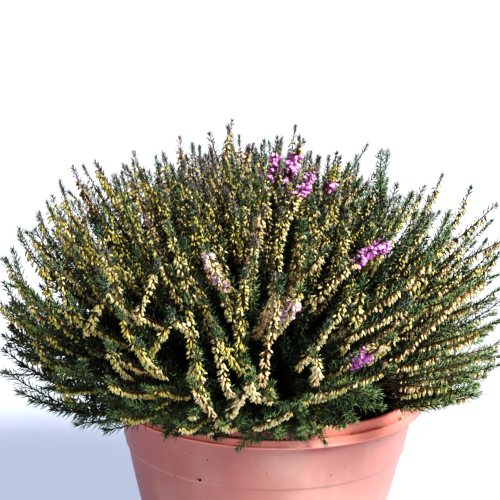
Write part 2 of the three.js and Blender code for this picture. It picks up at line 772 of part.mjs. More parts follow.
for (const shoot of shoots) {
  shoot.branch = branchOf(branches, shoot.azimuth, shoot.elevation);
  shoot.branch.shoots.push(shoot);
}
for (const shoot of shoots) {
  const start = Math.min(LATEST_START, (SPRAY_START * meanReach(shoot.branch)) / shoot.reach);
  const free = shootPath(shoot.branch, shoot, start);
  shoot.whole = shootPath(shoot.branch, shoot, SHOOT_START);
  shoot.bare = shoot.whole.total - free.total;
  shoot.isSpray = sprays.includes(shoot);
  shoot.path = shoot.isSpray ? free : shoot.whole;
  shoot.name = shoot.branch.name;
}
sprays.forEach((spray, i) => {
  spray.name = `${spray.kind}_spray_${String(i + 1).padStart(2, '0')}`;
});

// Centre lines that every needle and bud of another piece keeps clear of
for (const { name, path } of shoots) {
  for (let i = CENTRE_LINE_STEP; i < path.points.length; i += CENTRE_LINE_STEP) {
    const [from, to] = [path.points[i - CENTRE_LINE_STEP], path.points[i]];
    centreLines.push({ owner: name, from, to, thickness: SHOOT_RADIUS });
  }
}
twigStations().forEach(([to], i, stations) => {
  const [from] = stations[Math.max(0, i - 1)];
  if (i > 0) centreLines.push({ owner: 'dry_twig', from, to, thickness: TWIG_RADIUS * TWIG_KNOT });
});

const plant = new THREE.Group();

function addPiece(name, geometry, material) {
  const mesh = new THREE.Mesh(geometry, material);
  mesh.name = name;
  plant.add(mesh);
}

addPiece('pot', buildPot(), materials.pot);
addPiece('soil', buildSoil(branches), materials.soil);
addPiece('dry_twig', buildTwig(), materials.twig);
for (const spray of sprays) addPiece(spray.name, buildSpray(spray), materials[spray.kind]);
for (const branch of branches) addPiece(branch.name, buildBranch(branch), materials.branch);

export default plant;
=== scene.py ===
"""A winter heath in a terracotta-coloured bowl pot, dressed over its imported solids.

Metres, +Z up. The pot's underside stands on z = 0 and the front of the plant faces -Y.
"""

import math
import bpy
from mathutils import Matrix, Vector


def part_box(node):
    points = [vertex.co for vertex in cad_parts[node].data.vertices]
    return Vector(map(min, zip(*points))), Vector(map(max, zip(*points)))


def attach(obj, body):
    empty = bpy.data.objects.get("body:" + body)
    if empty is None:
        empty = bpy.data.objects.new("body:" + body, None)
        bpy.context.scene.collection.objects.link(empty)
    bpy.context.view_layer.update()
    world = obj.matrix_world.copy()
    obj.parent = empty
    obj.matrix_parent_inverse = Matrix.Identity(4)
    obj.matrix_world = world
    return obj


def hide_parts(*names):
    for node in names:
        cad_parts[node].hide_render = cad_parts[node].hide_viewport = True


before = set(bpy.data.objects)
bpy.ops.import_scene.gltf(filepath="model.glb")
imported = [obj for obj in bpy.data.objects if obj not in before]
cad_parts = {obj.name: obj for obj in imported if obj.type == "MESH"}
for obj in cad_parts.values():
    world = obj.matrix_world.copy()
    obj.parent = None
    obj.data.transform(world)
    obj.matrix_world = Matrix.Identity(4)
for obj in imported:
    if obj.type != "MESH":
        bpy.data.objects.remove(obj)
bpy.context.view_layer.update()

from types import SimpleNamespace

import bmesh
import bpy
import numpy as np
from bpy.props import FloatProperty, FloatVectorProperty, IntProperty, PointerProperty
from mathutils import Matrix, Vector

bl_info = {
    "name": "Potted winter heath",
    "version": (1, 0, 0),
    "blender": (4, 5, 0),
    "location": "3D View > Sidebar > Heath",
    "description": "Grows a potted winter heath piece by piece",
    "category": "Add Mesh",
}

POT_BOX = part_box("pot")
SOIL_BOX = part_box("soil")
BODY = "root"

# Specks of compost on the wall, by the photograph: place in pixels and width in millimetres
WALL_SPECKS = [
    ((200, 480), 2.4),
    ((197, 479), 1.3),
    ((175, 476), 1.5),
    ((191, 453), 1.2),
    ((164, 441), 1.2),
    ((135, 446), 1.1),
    ((378, 441), 1.1),
    ((401, 442), 1.1),
    ((345, 467), 1.0),
    ((331, 475), 1.4),
    ((394, 466), 0.9),
    ((359, 483), 0.8),
    ((268, 492), 1.0),
    ((244, 454), 1.0),
    ((159, 495), 0.9),
]

# Fallen needles on the ledge of the rim that have a place of their own, by azimuth
LEDGE_NEEDLES = [-88, -48, -60, -70, -35, -80]

# Pot
POT_HEIGHT = POT_BOX[1].z
RIM_RADIUS = POT_BOX[1].x
COLLAR_RADIUS = 0.1154
COLLAR_HEIGHT = 0.0072
FLANGE_HEIGHT = 0.0066
LEDGE_Z = POT_HEIGHT - COLLAR_HEIGHT
FLANGE_FOOT_Z = LEDGE_Z - FLANGE_HEIGHT
SHOULDER_Z = 0.079
SHOULDER_STEP = 0.0013
SHOULDER_RADIUS = 0.1039
NECK_RADIUS = 0.111
WALL_TAPER = 0.2
WALL_CURVE = 0.7
WALL_THICKNESS = 0.0025
FLOOR_THICKNESS = 0.0032
FOOT_ROUND = 0.004
LIP_THICKNESS = 0.0032
DRAIN_COUNT = 8
DRAIN_RADIUS = 0.004
DRAIN_CIRCLE = 0.044
CHANNEL_WIDTH = 0.006
CHANNEL_DEPTH = 0.0016

# Compost, with the gap that it keeps from the pot's inside
SOIL_FOOT_Z = SOIL_BOX[0].z
SOIL_EDGE_Z = 0.11
SOIL_CROWN_Z = 0.113
SOIL_GAP = 0.0004
SOAKED_COMPOST = 0.006, 0.004, 0.003
SOIL_SEED = 5
LITTER_SEED = 11

# Dry twig. Stations: share of its height, bow to the right, share of the radius.
# Snags: share of its length, length, azimuth
TWIG_FOOT = (0.097, -0.021)
TWIG_TOP = (0.083, -0.02, 0.161)
TWIG_RADIUS = 0.0011
TWIG_STATIONS = [
    (0.09, 0.0019, 0.9),
    (0.14, 0.0021, 1.7),
    (0.19, 0.0019, 0.9),
    (0.55, 0.0006, 0.85),
    (1.0, 0.0, 0.6),
]
TWIG_SNAGS = [(0.45, 0.0035, 200), (0.62, 0.0028, 20), (0.8, 0.0024, 120)]
TWIG_SEED = 3

# Dome of foliage: the surface that the shoot tips reach
DOME_CENTRE_Z = 0.19
DOME_RADIUS = 0.2
DOME_RISE = 0.126
DOME_DROP = 0.1
DOME_POWER = 2.4

# Stems: up from the crown to a shoulder, outward, and up again at the tip
CROWN_RADIUS = 0.058
LOWEST_ELEVATION = -38
STEM_RADIUS = 0.0032
SHOULDER_OUT = 0.2
SHOULDER_UP = 0.046
SHOULDER_LIFT = 0.042
TIP_PULL = 0.38
LEVEL_RISE = 34
FORK_START = 0.15
FORK_POWER = 0.8
SHOOT_START = 0.4
SPRAY_START = 0.74
LATEST_START = 0.84

# Tiers of branches: name, elevation from and to, number round the plant, turn of the first one
TIERS = [
    ("low", -38, 12, 8, 10),
    ("middle", 12, 48, 6, 17.5),
    ("crown", 48, 82, 4, 0),
]

# Sprays with a place of their own: azimuth and elevation of the tip on the dome,
# reach (1 is the dome's face), rise and swing of the tip
SPRAYS = [
    ("bud", 177, 7, 1.01, 54, 0),
    ("bud", -167, 2, 1.02, 50, -8),
    ("bud", 175, 18, 0.92, 68, 0),
    ("bud", 171, 30, 0.94, 68, 0),
    ("bud", 163, 46, 0.95, 64, 0),
    ("bud", 150, 52, 0.92, 76, 0),
    ("bud", 138, 63, 0.93, 80, 0),
    ("bud", 143, 82, 1.03, 86, 0),
    ("peach", -170, 87, 0.93, 82, 150),
    ("pink", -84, 87, 0.97, 68, 0),
    ("pink", -48, 84, 1, 62, 0),
    ("pink", -36, 76, 0.94, 54, -6),
    ("pale", 11, 74, 0.83, 72, -16),
    ("bud", 11, 50, 0.83, 70, 0),
    ("bud", 4, 43, 0.95, 70, 0),
    ("bud", 0, 35, 0.97, 48, 0),
    ("bud", -7, 25, 0.95, 38, 0),
    ("bud", -13, -5, 0.9, 30, 0),
    ("bud", -21, -15, 0.88, 22, 0),
    ("bud", -17, -31, 0.92, 8, 0),
    ("pink", -60, 40, 0.97, 35, 6),
    ("pink", -65, 9, 0.97, 30, 18),
    ("pale", -107, 36, 0.95, 43, -4),
    ("pale", -84, 25, 0.95, 55, -14),
    ("peach", -93, 52, 0.97, 50, 24),
    ("bud", -145, 8, 0.98, 44, 2),
    ("bud", -127, 19, 0.98, 54, 30),
    ("bud", -133, 27, 0.88, 40, -6),
    ("bud", -117, 6, 0.98, 42, 4),
    ("bud", -124, -5, 0.98, 36, 10),
    ("bud", -94, 0, 0.95, 40, 18),
    ("bud", -106, -15, 0.93, 32, -6),
    ("bud", -101, 11, 0.95, 53, 0),
    ("peach", -88, 28, 0.98, 66, 18),
    ("bud", -82, 7, 0.97, 38, -28),
    ("peach", -95, 41, 0.95, 54, 0),
    ("bud", -77, 37, 0.97, 45, 10),
    ("bud", -72, -2, 0.91, 30, 26),
    ("bud", -156, 35, 0.97, 56, 30),
]

# Shoots with a place of their own that grow in one piece with their branch
SIDE_SHOOTS = [
    ("leaf", -170, -24, 1.1, 24, 0),
    ("dead", 166, 41, 0.98, 76, 0),
    ("leaf", 130, 70, 0.93, 82, 0),
    ("leaf", 17, 64, 0.81, 46, -8),
    ("leaf", 26, 63, 0.92, 82, 0),
    ("leaf", -10, 6, 0.88, 40, 0),
    ("leaf", -98, -44, 0.92, -12, 6),
    ("leaf", -144, -38, 0.99, -6, 6),
    ("bud", -105, 2, 0.92, 36, 10),
    ("bud", -112, 15, 0.93, 43, 24),
    ("bud", -51, 17, 0.97, 32, -8),
]

# Finer shoots placed by the photograph, 500 pixels square: kind, tip, and the foot of the tuft or raceme
PICTURE_WIDTH = 500
PLACED_SHOOTS = [
    ("pink", (317, 167), (299, 193)),
    ("bud", (4, 313), (58, 378)),
    ("bud", (54, 375), (77, 405)),
    ("bud", (4, 283), (24, 317)),
    ("bud", (106, 287), (82, 336)),
    ("bud", (118, 308), (133, 340)),
    ("bud", (172, 316), (151, 349)),
    ("bud", (158, 262), (142, 303)),
    ("bud", (42, 254), (52, 314)),
    ("bud", (57, 262), (72, 320)),
    ("bud", (105, 249), (117, 291)),
    ("bud", (99, 227), (108, 263)),
    ("bud", (118, 182), (137, 240)),
    ("bud", (146, 217), (160, 256)),
    ("bud", (167, 222), (178, 259)),
    ("bud", (196, 349), (204, 393)),
    ("bud", (189, 379), (220, 420)),
    ("bud", (213, 320), (224, 375)),
    ("bud", (187, 295), (193, 354)),
    ("bud", (245, 270), (240, 328)),
    ("bud", (253, 374), (233, 407)),
    ("bud", (449, 231), (419, 276)),
    ("peach", (431, 255), (386, 300)),
    ("peach", (463, 289), (415, 340)),
    ("bud", (408, 304), (360, 330)),
    ("bud", (421, 307), (396, 335)),
    ("bud", (355, 286), (325, 330)),
    ("bud", (364, 277), (357, 312)),
    ("bud", (406, 284), (370, 308)),
    ("bud", (445, 354), (413, 363)),
    ("bud", (393, 367), (340, 386)),
    ("bud", (468, 389), (420, 399)),
    ("peach", (444, 387), (414, 386)),
    ("bud", (301, 404), (262, 423)),
    ("peach", (280, 288), (266, 356)),
    ("bud", (488, 276), (440, 311)),
    ("bud", (490, 327), (440, 351)),
    ("leaf", (13, 250), (26, 288)),
    ("leaf", (5, 336), (50, 362)),
    ("leaf", (4, 350), (48, 380)),
    ("leaf", (6, 372), (70, 408)),
    ("leaf", (18, 391), (75, 412)),
    ("leaf", (32, 401), (90, 406)),
    ("leaf", (80, 362), (92, 399)),
    ("leaf", (98, 392), (136, 413)),
    ("leaf", (53, 409), (100, 412)),
    ("leaf", (78, 424), (125, 416)),
    ("leaf", (106, 430), (142, 421)),
    ("leaf", (381, 152), (381, 205)),
    ("leaf", (397, 185), (385, 216)),
    ("leaf", (412, 193), (395, 226)),
    ("leaf", (430, 214), (405, 241)),
    ("leaf", (450, 212), (432, 249)),
    ("leaf", (493, 299), (446, 330)),
    ("leaf", (476, 395), (428, 404)),
    ("bud", (452, 398), (414, 404)),
    ("leaf", (438, 404), (409, 407)),
    ("leaf", (474, 388), (425, 398)),
    ("leaf", (371, 404), (346, 396)),
    ("leaf", (372, 396), (346, 390)),
    ("leaf", (468, 377), (428, 387)),
    ("bud", (460, 391), (418, 401)),
    ("bud", (484, 356), (442, 368)),
    ("leaf", (489, 348), (440, 358)),
    ("leaf", (450, 402), (416, 407)),
    ("leaf", (14, 330), (60, 352)),
    ("bud", (8, 345), (52, 366)),
    ("leaf", (22, 318), (70, 340)),
    ("leaf", (12, 300), (58, 334)),
    ("leaf", (28, 290), (68, 330)),
    ("leaf", (36, 352), (86, 374)),
    ("leaf", (20, 364), (70, 386)),
    ("bud", (478, 385), (430, 394)),
    ("bud", (491, 366), (446, 380)),
    ("leaf", (485, 376), (440, 387)),
    ("leaf", (494, 352), (450, 366)),
    ("bud", (474, 371), (426, 380)),
    ("leaf", (470, 362), (422, 374)),
    ("bud", (462, 381), (418, 390)),
    ("leaf", (379, 396), (352, 391)),
    ("leaf", (383, 407), (358, 403)),
    ("pink", (386, 237), (345, 269)),
]

# Placed shoots that begin to the right of and below the first pixel have bare stems by the twig.
# Those further right or lower than the second rise from the pot's edge, beside it.
RIGHT_OF_TWIG = 385, 345
BESIDE_TWIG = 421, 386

# Pixels of the dark hollows between the shoots of the plant's face, as read off
HOLLOWS = [
    (165, 283),
    (134, 350),
    (196, 322),
    (230, 272),
    (258, 350),
    (292, 346),
    (74, 345),
    (140, 300),
    (352, 262),
]
HOLLOW_RADIUS = 0.016

# How far out placed tips, placed feet and hollows lie: 1 is the dome's face
TIP_REACH = 0.95
FOOT_REACH = 0.86
HOLLOW_REACH = 0.92

# Where the open bells of a spray begin and end, measured from its tip
BLOOM_RANGES = {
    "pink_spray_10": (0.008, 0.028),
    "pink_spray_11": (0.011, 0.031),
    "pink_spray_12": (0.022, 0.03),
    "pale_spray_13": (0.02, 0.034),
    "pink_spray_21": (0.008, 0.02),
    "pink_spray_22": (0.024, 0.05),
    "pale_spray_23": (0.007, 0.046),
    "pale_spray_24": (0.014, 0.044),
    "side": (0.006, 0.027),
}

# Further shoots, spread over the dome on golden-angle spirals where there is room.
# Each shoot's character is drawn with its own seed, counted from SHOOT_SEED.
GOLDEN_ANGLE = 137.508
FARTHEST = 0.98
SPREAD_COUNT = 68
SPREAD_ROOM = 0.05
SPREAD_LOWEST = -0.62
SPREAD_SEED = 7
LEAFY_BELOW = -22
LEAFY_SHARE = 0.3
FILL_SEED = 23
CLUMPING = 0.045
SHOOT_SEED = 1000

# Part of the rim that the fill keeps clear: azimuth from and to, and up to which elevation
CLEAR_RIM = -66, -24, -20

# Sight of the dry twig, which the fill keeps open: its middle and half its width, its height
# at the twig and half of it, how steeply it climbs towards the camera, and how near it begins
SIGHT_X = 0.09
SIGHT_HALF_WIDTH = 0.013
SIGHT_Z = 0.138
SIGHT_HALF_HEIGHT = 0.032
SIGHT_CLIMB = 0.26
SIGHT_START = 0.008

# How closely a shoot is modelled, the sides of its stem and the length that bears needles
FINE, PLAIN, DEEP = range(3)
STEM_SIDES = {FINE: 6, PLAIN: 4, DEEP: 3}
LEAFY_LENGTH = {FINE: 0.14, PLAIN: 0.096, DEEP: 0.078}

# Layers of fill: elevation from and to, reach from and to as a share of the neighbours' reach,
# share of leafy shoots, least distance between two tips, grade
LAYER_VALUES = "lowest", "highest", "near", "far", "leafy", "room", "grade"
LAYERS = {
    "outer": (-36, 90, 0.76, 0.98, 0.1, 0.0105, PLAIN),
    "low": (-50, -6, 0.7, 0.96, 0.6, 0.0095, PLAIN),
    "top": (52, 90, 0.86, 1.0, 0.1, 0.0085, PLAIN),
    "inner": (-42, 90, 0.4, 0.76, 0.9, 0.006, DEEP),
}

# Skirt of shoots over the front of the rim: azimuth from and to, and where it hangs lowest
SKIRT_FROM = -152
SKIRT_TO = -72
SKIRT_MIDDLE = -100

# Material slots of a plant's piece, in their order, and the slot of a piece with one finish
BARK, LEAF, BUDS, BELLS, ANTHERS = range(5)
ONE_FINISH = 0

# Stage
FLOOR_HALF_WIDTH = 9.0
BACKDROP_RADIUS = 8.8
BACKDROP_HEIGHT = 0.6
LAMP_COLOUR = 1.0, 0.975, 0.945
SKY_COLOUR = 0.78, 0.87, 1.0

# The picture's tone curve: mid tones lifted, highlights held
TONE_CURVE = [(0.08, 0.093), (0.2, 0.28), (0.45, 0.585), (0.88, 0.9)]

UP = np.array([0.0, 0.0, 1.0])


# Settings


def length(name, description, default):
    return FloatProperty(name=name, description=description, default=default, unit="LENGTH", precision=5)


def angle(name, description, degrees):
    return FloatProperty(name=name, description=description, default=math.radians(degrees), subtype="ANGLE")


def colour(name, description, hex_code):
    return FloatVectorProperty(
        name=name, description=description, default=srgb(hex_code), size=3, subtype="COLOR", min=0, max=1
    )


def srgb(hex_code):
    """Linear colour of a written one such as 'c97f72'."""
    parts = [int(hex_code[i : i + 2], 16) / 255 for i in (0, 2, 4)]
    return tuple(c / 12.92 if c <= 0.04045 else ((c + 0.055) / 1.055) ** 2.4 for c in parts)


class HeathPotSettings(bpy.types.PropertyGroup):
    """The bowl pot and what lies in it"""

    segments: IntProperty(name="Segments", description="Faces round the pot", default=128, min=16)
    plastic: colour("Plastic", "Moulded plastic of the wall", "a8716a")
    # The rim is a little deeper in colour than the wall and also lighter, which paints light over the shade
    # that the overhanging shoots cast on it
    rim: colour("Rim", "Plastic of the rim, a little deeper in colour", "cb7c70")
    dust: colour("Dust", "Dry dust and lime on the plastic", "e2c4b8")
    dirt: colour("Dirt", "Specks of compost stuck to the wall", "4a2318")
    compost: colour("Compost", "Damp compost", "2a1d15")
    fibre: colour("Fibre", "Fibres in the compost", "5d4431")
    # The twig's wood colours are pale like bleached dry wood and lightened further, which paints light onto
    # the twig where it stands in the shade of the shoots
    wood: colour("Dry wood", "Wood of the dry twig", "a8967f")
    bleached_and_lit_wood: colour("Pale wood", "Bleached grain of the twig", "ddd2c2")
    stained_wood: colour("Stained wood", "Stains on the twig", "7a6350")
    specks: IntProperty(name="Specks", description="Specks on the wall's back and foot", default=50, min=0)
    crumbs: IntProperty(name="Crumbs", description="Loose lumps on the compost", default=420, min=0)


class HeathFoliageSettings(bpy.types.PropertyGroup):
    """Stems and needles"""

    outer: IntProperty(name="Outer shoots", description="Places tried near the face", default=620, min=0)
    low: IntProperty(name="Low shoots", description="Places tried over the rim", default=120, min=0)
    top: IntProperty(name="Top shoots", description="Places tried on the crown", default=160, min=0)
    inner: IntProperty(name="Inner shoots", description="Places tried deep in the bush", default=600, min=0)
    skirt: IntProperty(name="Skirt shoots", description="Shoots that lie over the rim", default=44, min=0)
    needle_length: length("Needle length", "Length of a grown needle", 0.0082)
    needle_width: length("Needle width", "Width of a grown needle", 0.00105)
    pitch: length("Pitch", "Distance between two whorls of needles", 0.0029)
    tip_radius: length("Tip radius", "Radius of a shoot near its tip", 0.0004)
    green: colour("Green", "Grown needles", "54674c")
    fresh: colour("Fresh green", "Young needles", "7f9563")
    blue: colour("Blue green", "Weathered needles near the tips", "55685c")
    mauve: colour("Mauve", "Needles that turn grey and mauve at the tips", "75656a")
    # The darkest needle colour is painted shade: needles deep in the bush and far from their tips are mixed
    # towards it
    painted_inner_shade: colour("Old needles", "Dull needles deep in the bush", "0c130b")
    bark: colour("Bark", "Old stems", "33241a")
    tan: colour("Young stem", "Young stems", "86694f")


class HeathFlowerSettings(bpy.types.PropertyGroup):
    """Buds and open bells"""

    bud_length: length("Bud length", "Length of a closed bud with its stalk", 0.0055)
    bud_width: length("Bud width", "Width of a closed bud", 0.0017)
    bell_length: length("Bell length", "Length of an open bell", 0.0056)
    bell_width: length("Bell width", "Width of an open bell", 0.0027)
    per_whorl: FloatProperty(name="Buds per whorl", description="Buds to a whorl, on average", default=4.2)
    young: colour("Young bud", "Yellow-green of the young buds", "a39e50")
    cream: colour("Cream bud", "Cream of the grown buds", "d1c7a0")
    peach: colour("Peach bud", "Peach of the ripe buds", "cdaa90")
    calyx: colour("Calyx", "Stalk and calyx at a bud's root", "7a4f2c")
    pink: colour("Pink", "Open bells", "e297da")
    pale: colour("Pale mauve", "Bells that are still pale", "d6bfc0")
    # The paler colour towards each bell's mouth is a painted highlight
    bell_highlight: colour("Bell mouth", "Paler mouth of the bells", "eec3ec")
    deep_pink: colour("Deep pink", "Deeper pink of some bells", "bd70bd")
    anther: colour("Anther", "Dark tips that stand out of the bells", "5a2440")
    red_anther: colour("Red anther", "Anthers of a redder shade", "8c3f66")
    withered: colour("Withered bud", "Buds of a dead spike", "6a4e4c")


class HeathStageSettings(bpy.types.PropertyGroup):
    """Floor, lights and camera"""

    distance: length("Distance", "From the camera to the middle of the picture", 1.5)
    frame_width: length("Frame width", "Width that the picture covers at that distance", 0.37)
    aim_x: length("Aim across", "Middle of the picture, to the right of the pot's axis", -0.0156)
    aim_z: length("Aim height", "Middle of the picture above the floor", 0.2268)
    elevation: angle("Elevation", "Height of the camera above the horizon", 14.6)
    roll: angle("Roll", "Tilt of the camera, which lowers the picture's right side", 1.75)
    floor: colour("Floor", "Pale floor", "a8a7a5")
    glow: colour("Floor glow", "Pale blue light of the floor itself", "bac6e2")
    key: FloatProperty(name="Key light", description="Strength of the large lamp", default=10.4)
    key_turn: angle("Key turn", "Direction of the large lamp, to the right of the camera", 55)
    key_height: angle("Key height", "Height of the large lamp above the horizon", 42)
    key_size: angle("Key size", "Width of the large lamp in the sky", 34)
    fill: FloatProperty(name="Fill light", description="Strength of the light from all round", default=0.08)
    contrast: FloatProperty(
        name="Contrast", description="Gamma of the picture, lower for deeper shade", default=0.62
    )


# Shader maths


class Signal:
    """A number that comes out of a shader socket. Its operators add Math nodes."""

    def __init__(self, finish, socket):
        self.finish = finish
        self.socket = socket

    def math(self, operation, *values):
        made = self.finish.node("ShaderNodeMath", {"operation": operation}, dict(enumerate(values)))
        return self.finish.signal(made)

    def __add__(self, other):
        return self.math("ADD", self, other)

    def __sub__(self, other):
        return self.math("SUBTRACT", self, other)

    def __rsub__(self, other):
        return self.math("SUBTRACT", other, self)

    def __mul__(self, other):
        return self.math("MULTIPLY", self, other)

    def smooth(self, low, high):
        """0 below low, 1 above high and a soft step between."""
        settings = {"interpolation_type": "SMOOTHSTEP"}
        values = {"Value": self, "From Min": low, "From Max": high}
        return self.finish.signal(self.finish.node("ShaderNodeMapRange", settings, values), "Result")

    __radd__ = __add__
    __rmul__ = __mul__


class Finish:
    """One material, made of nodes."""

    def __init__(self, name, roughness=0.5, specular=0.5):
        self.material = bpy.data.materials.new(name)
        self.material.use_nodes = True
        self.tree = self.material.node_tree
        self.tree.nodes.clear()
        self.shader = self.node("ShaderNodeBsdfPrincipled")
        self.shader.inputs["Roughness"].default_value = roughness
        self.shader.inputs["Specular IOR Level"].default_value = specular
        output = self.node("ShaderNodeOutputMaterial")
        self.tree.links.new(self.shader.outputs["BSDF"], output.inputs["Surface"])

    def node(self, kind, settings=None, values=None):
        """Any node: its settings are set first, then its sockets get values or links."""
        made = self.tree.nodes.new(kind)
        for name, value in (settings or {}).items():
            setattr(made, name, value)
        for name, value in (values or {}).items():
            self.feed(made.inputs[name], value)
        return made

    def feed(self, socket, value):
        if isinstance(value, Signal):
            self.tree.links.new(value.socket, socket)
        elif socket.type == "RGBA":
            socket.default_value = (*value, 1.0)
        else:
            socket.default_value = value

    def signal(self, node, output=0):
        return Signal(self, node.outputs[output])

    def attribute(self, name):
        return self.signal(self.node("ShaderNodeAttribute", {"attribute_name": name}), "Fac")

    def place(self):
        """The place of a point on its piece, in metres."""
        return self.signal(self.node("ShaderNodeTexCoord"), "Object")

    def noise(self, scale, detail=3.0, stretch=(1.0, 1.0, 1.0), roughness=0.5):
        """Noise over the piece, 0 to 1."""
        scaled = self.node("ShaderNodeMapping", {}, {"Vector": self.place(), "Scale": stretch})
        values = {"Vector": self.signal(scaled), "Scale": scale, "Detail": detail, "Roughness": roughness}
        return self.signal(self.node("ShaderNodeTexNoise", {}, values), "Fac")

    def cells(self, scale):
        """Distance to the nearest of many scattered points."""
        values = {"Vector": self.place(), "Scale": scale}
        return self.signal(self.node("ShaderNodeTexVoronoi", {}, values), "Distance")

    def height(self):
        """Height above the floor, in metres."""
        return self.signal(self.node("ShaderNodeSeparateXYZ", {}, {"Vector": self.place()}), "Z")

    def mix(self, factor, first, second):
        """A colour between two."""
        made = self.node("ShaderNodeMix", {"data_type": "RGBA", "clamp_factor": True})
        sockets = {socket.identifier: socket for socket in made.inputs}
        self.feed(sockets["Factor_Float"], factor)
        self.feed(sockets["A_Color"], first)
        self.feed(sockets["B_Color"], second)
        return Signal(self, next(socket for socket in made.outputs if socket.identifier == "Result_Color"))

    def bump(self, height, strength, distance):
        values = {"Height": height, "Strength": strength, "Distance": distance}
        self.feed(self.shader.inputs["Normal"], self.signal(self.node("ShaderNodeBump", {}, values)))

    def colour(self, value):
        self.feed(self.shader.inputs["Base Color"], value)

    def roughness(self, value):
        self.feed(self.shader.inputs["Roughness"], value)

    def glow(self, value):
        """A light of its own, as strong as its colour."""
        self.feed(self.shader.inputs["Emission Color"], value)
        self.shader.inputs["Emission Strength"].default_value = 1.0


# Growth


def seeded_draw(seed):
    """Numbers from 0 to 1, the same in each run."""
    state = seed

    def draw():
        nonlocal state
        state = (state * 1664525 + 1013904223) % 2**32
        return state / 2**32

    return draw


def on_circle(radius, azimuth, z):
    turn = math.radians(azimuth)
    return np.array([radius * math.cos(turn), radius * math.sin(turn), z])


def dome_point(elevation, reach):
    """Radius and height of the dome's face at an elevation."""
    across = abs(math.cos(math.radians(elevation))) ** (2 / DOME_POWER)
    along = abs(math.sin(math.radians(elevation))) ** (2 / DOME_POWER)
    rise = DOME_RISE if elevation > 0 else -DOME_DROP
    return DOME_RADIUS * reach * across, DOME_CENTRE_Z + rise * reach * along


def usual_rise(elevation):
    """How steeply the tip of a shoot rises, in degrees: upright on top, level at the foot."""
    return LEVEL_RISE + (0.6 if elevation > 0 else 0.9) * elevation


def camera_frame(stage):
    """The camera's place, and its axes: across the picture, up it and away from the plant."""
    away = np.array([0.0, -math.cos(stage.elevation), math.sin(stage.elevation)])
    upright = np.array([0.0, math.sin(stage.elevation), math.cos(stage.elevation)])
    right = np.array([1.0, 0.0, 0.0])
    across = math.cos(stage.roll) * right + math.sin(stage.roll) * upright
    above = math.cos(stage.roll) * upright - math.sin(stage.roll) * right
    return np.array([stage.aim_x, 0.0, stage.aim_z]) + away * stage.distance, across, above, away


def seen_at(stage, pixel, depth, level):
    """The first point seen at a pixel of the photograph whose depth is no more than the level."""
    place, across, above, away = camera_frame(stage)
    scale = stage.frame_width / stage.distance / PICTURE_WIDTH
    middle = PICTURE_WIDTH / 2
    towards = (pixel[0] - middle) * scale * across + (middle - pixel[1]) * scale * above - away
    line = place + np.linspace(stage.distance - 0.25, stage.distance + 0.2, 901)[:, None] * towards
    depths = depth(line)
    inside = np.nonzero(depths <= level)[0]
    return line[inside[0] if len(inside) else depths.argmin()]


def dome_reach(points):
    """How far out points lie: 1 on the dome's face, less inside it."""
    across = np.hypot(points[:, 0], points[:, 1]) / DOME_RADIUS
    lift = points[:, 2] - DOME_CENTRE_Z
    along = np.abs(lift) / np.where(lift > 0, DOME_RISE, DOME_DROP)
    return (across**DOME_POWER + along**DOME_POWER) ** (1 / DOME_POWER)


def placed_shoot(stage, kind, tip_pixel, foot_pixel):
    """A shoot that rises from the compost and shows its tip and raceme where the photograph does."""
    tip = seen_at(stage, tip_pixel, dome_reach, TIP_REACH)
    foot = seen_at(stage, foot_pixel, dome_reach, FOOT_REACH)
    span = np.linalg.norm(tip - foot)
    outward = min(1.0, np.hypot(foot[0], foot[1]) / DOME_RADIUS)
    turn = math.degrees(math.atan2(foot[1], foot[0]))
    start = on_circle(0.075 * outward, turn, SOIL_CROWN_Z - 0.004)
    leafy = LEAFY_LENGTH[FINE]
    lift = 0.3
    if foot_pixel[0] > RIGHT_OF_TWIG[0] and foot_pixel[1] > RIGHT_OF_TWIG[1]:
        leafy = span + 0.012
        if foot_pixel[0] > BESIDE_TWIG[0] or foot_pixel[1] > BESIDE_TWIG[1]:
            start = on_circle(0.107, 0.3 * (turn + 38) + 2, SOIL_EDGE_Z - 0.002)
            lift = 0.08
    heading = unit(tip - foot)
    gap = np.linalg.norm(foot - start)
    shoulder = start + (UP * lift + 0.12 * unit(foot - start)) * gap
    curve = [start, shoulder, foot - heading * 0.3 * gap, foot]
    bow = 0.06 * span * np.sin(np.linspace(0, math.pi, 15))[:, None] * unit(UP + 0.5 * unit(tip))
    raceme = foot + np.linspace(0, 1, 15)[:, None] * (tip - foot) - bow * 0.5
    return SimpleNamespace(
        kind=kind,
        azimuth=math.degrees(math.atan2(tip[1], tip[0])),
        elevation=math.degrees(math.atan2(tip[2] - DOME_CENTRE_Z, np.hypot(tip[0], tip[1]))),
        reach=TIP_REACH,
        grade=FINE,
        line=np.concatenate([bezier(curve, np.linspace(0, 1, 30)), raceme[1:]]),
        leafy=leafy,
    )


def stem_curve(shoot):
    """The four Bezier points of a stem, from the compost to its tip on the dome."""
    tip_radius, tip_z = dome_point(shoot.elevation, shoot.reach)
    foot = CROWN_RADIUS * (90 - shoot.elevation) / (90 - LOWEST_ELEVATION)
    lift = SHOULDER_LIFT * max(0, math.sin(math.radians(shoot.elevation)))
    start = on_circle(foot, shoot.azimuth, SOIL_CROWN_Z)
    shoulder = on_circle(
        foot + SHOULDER_OUT * (tip_radius - foot), shoot.azimuth, SOIL_CROWN_Z + SHOULDER_UP + lift
    )
    tip = on_circle(tip_radius, shoot.azimuth, tip_z)
    rise = math.radians(shoot.rise)
    heading = on_circle(math.cos(rise), shoot.azimuth + shoot.swing, math.sin(rise))
    handle = tip - heading * TIP_PULL * np.linalg.norm(tip - start)
    return np.array([start, shoulder, handle, tip])


def bezier(curve, s):
    s = np.asarray(s, float)[:, None]
    weights = (1 - s) ** 3, 3 * s * (1 - s) ** 2, 3 * s**2 * (1 - s), s**3
    return sum(weight * point for weight, point in zip(weights, curve))


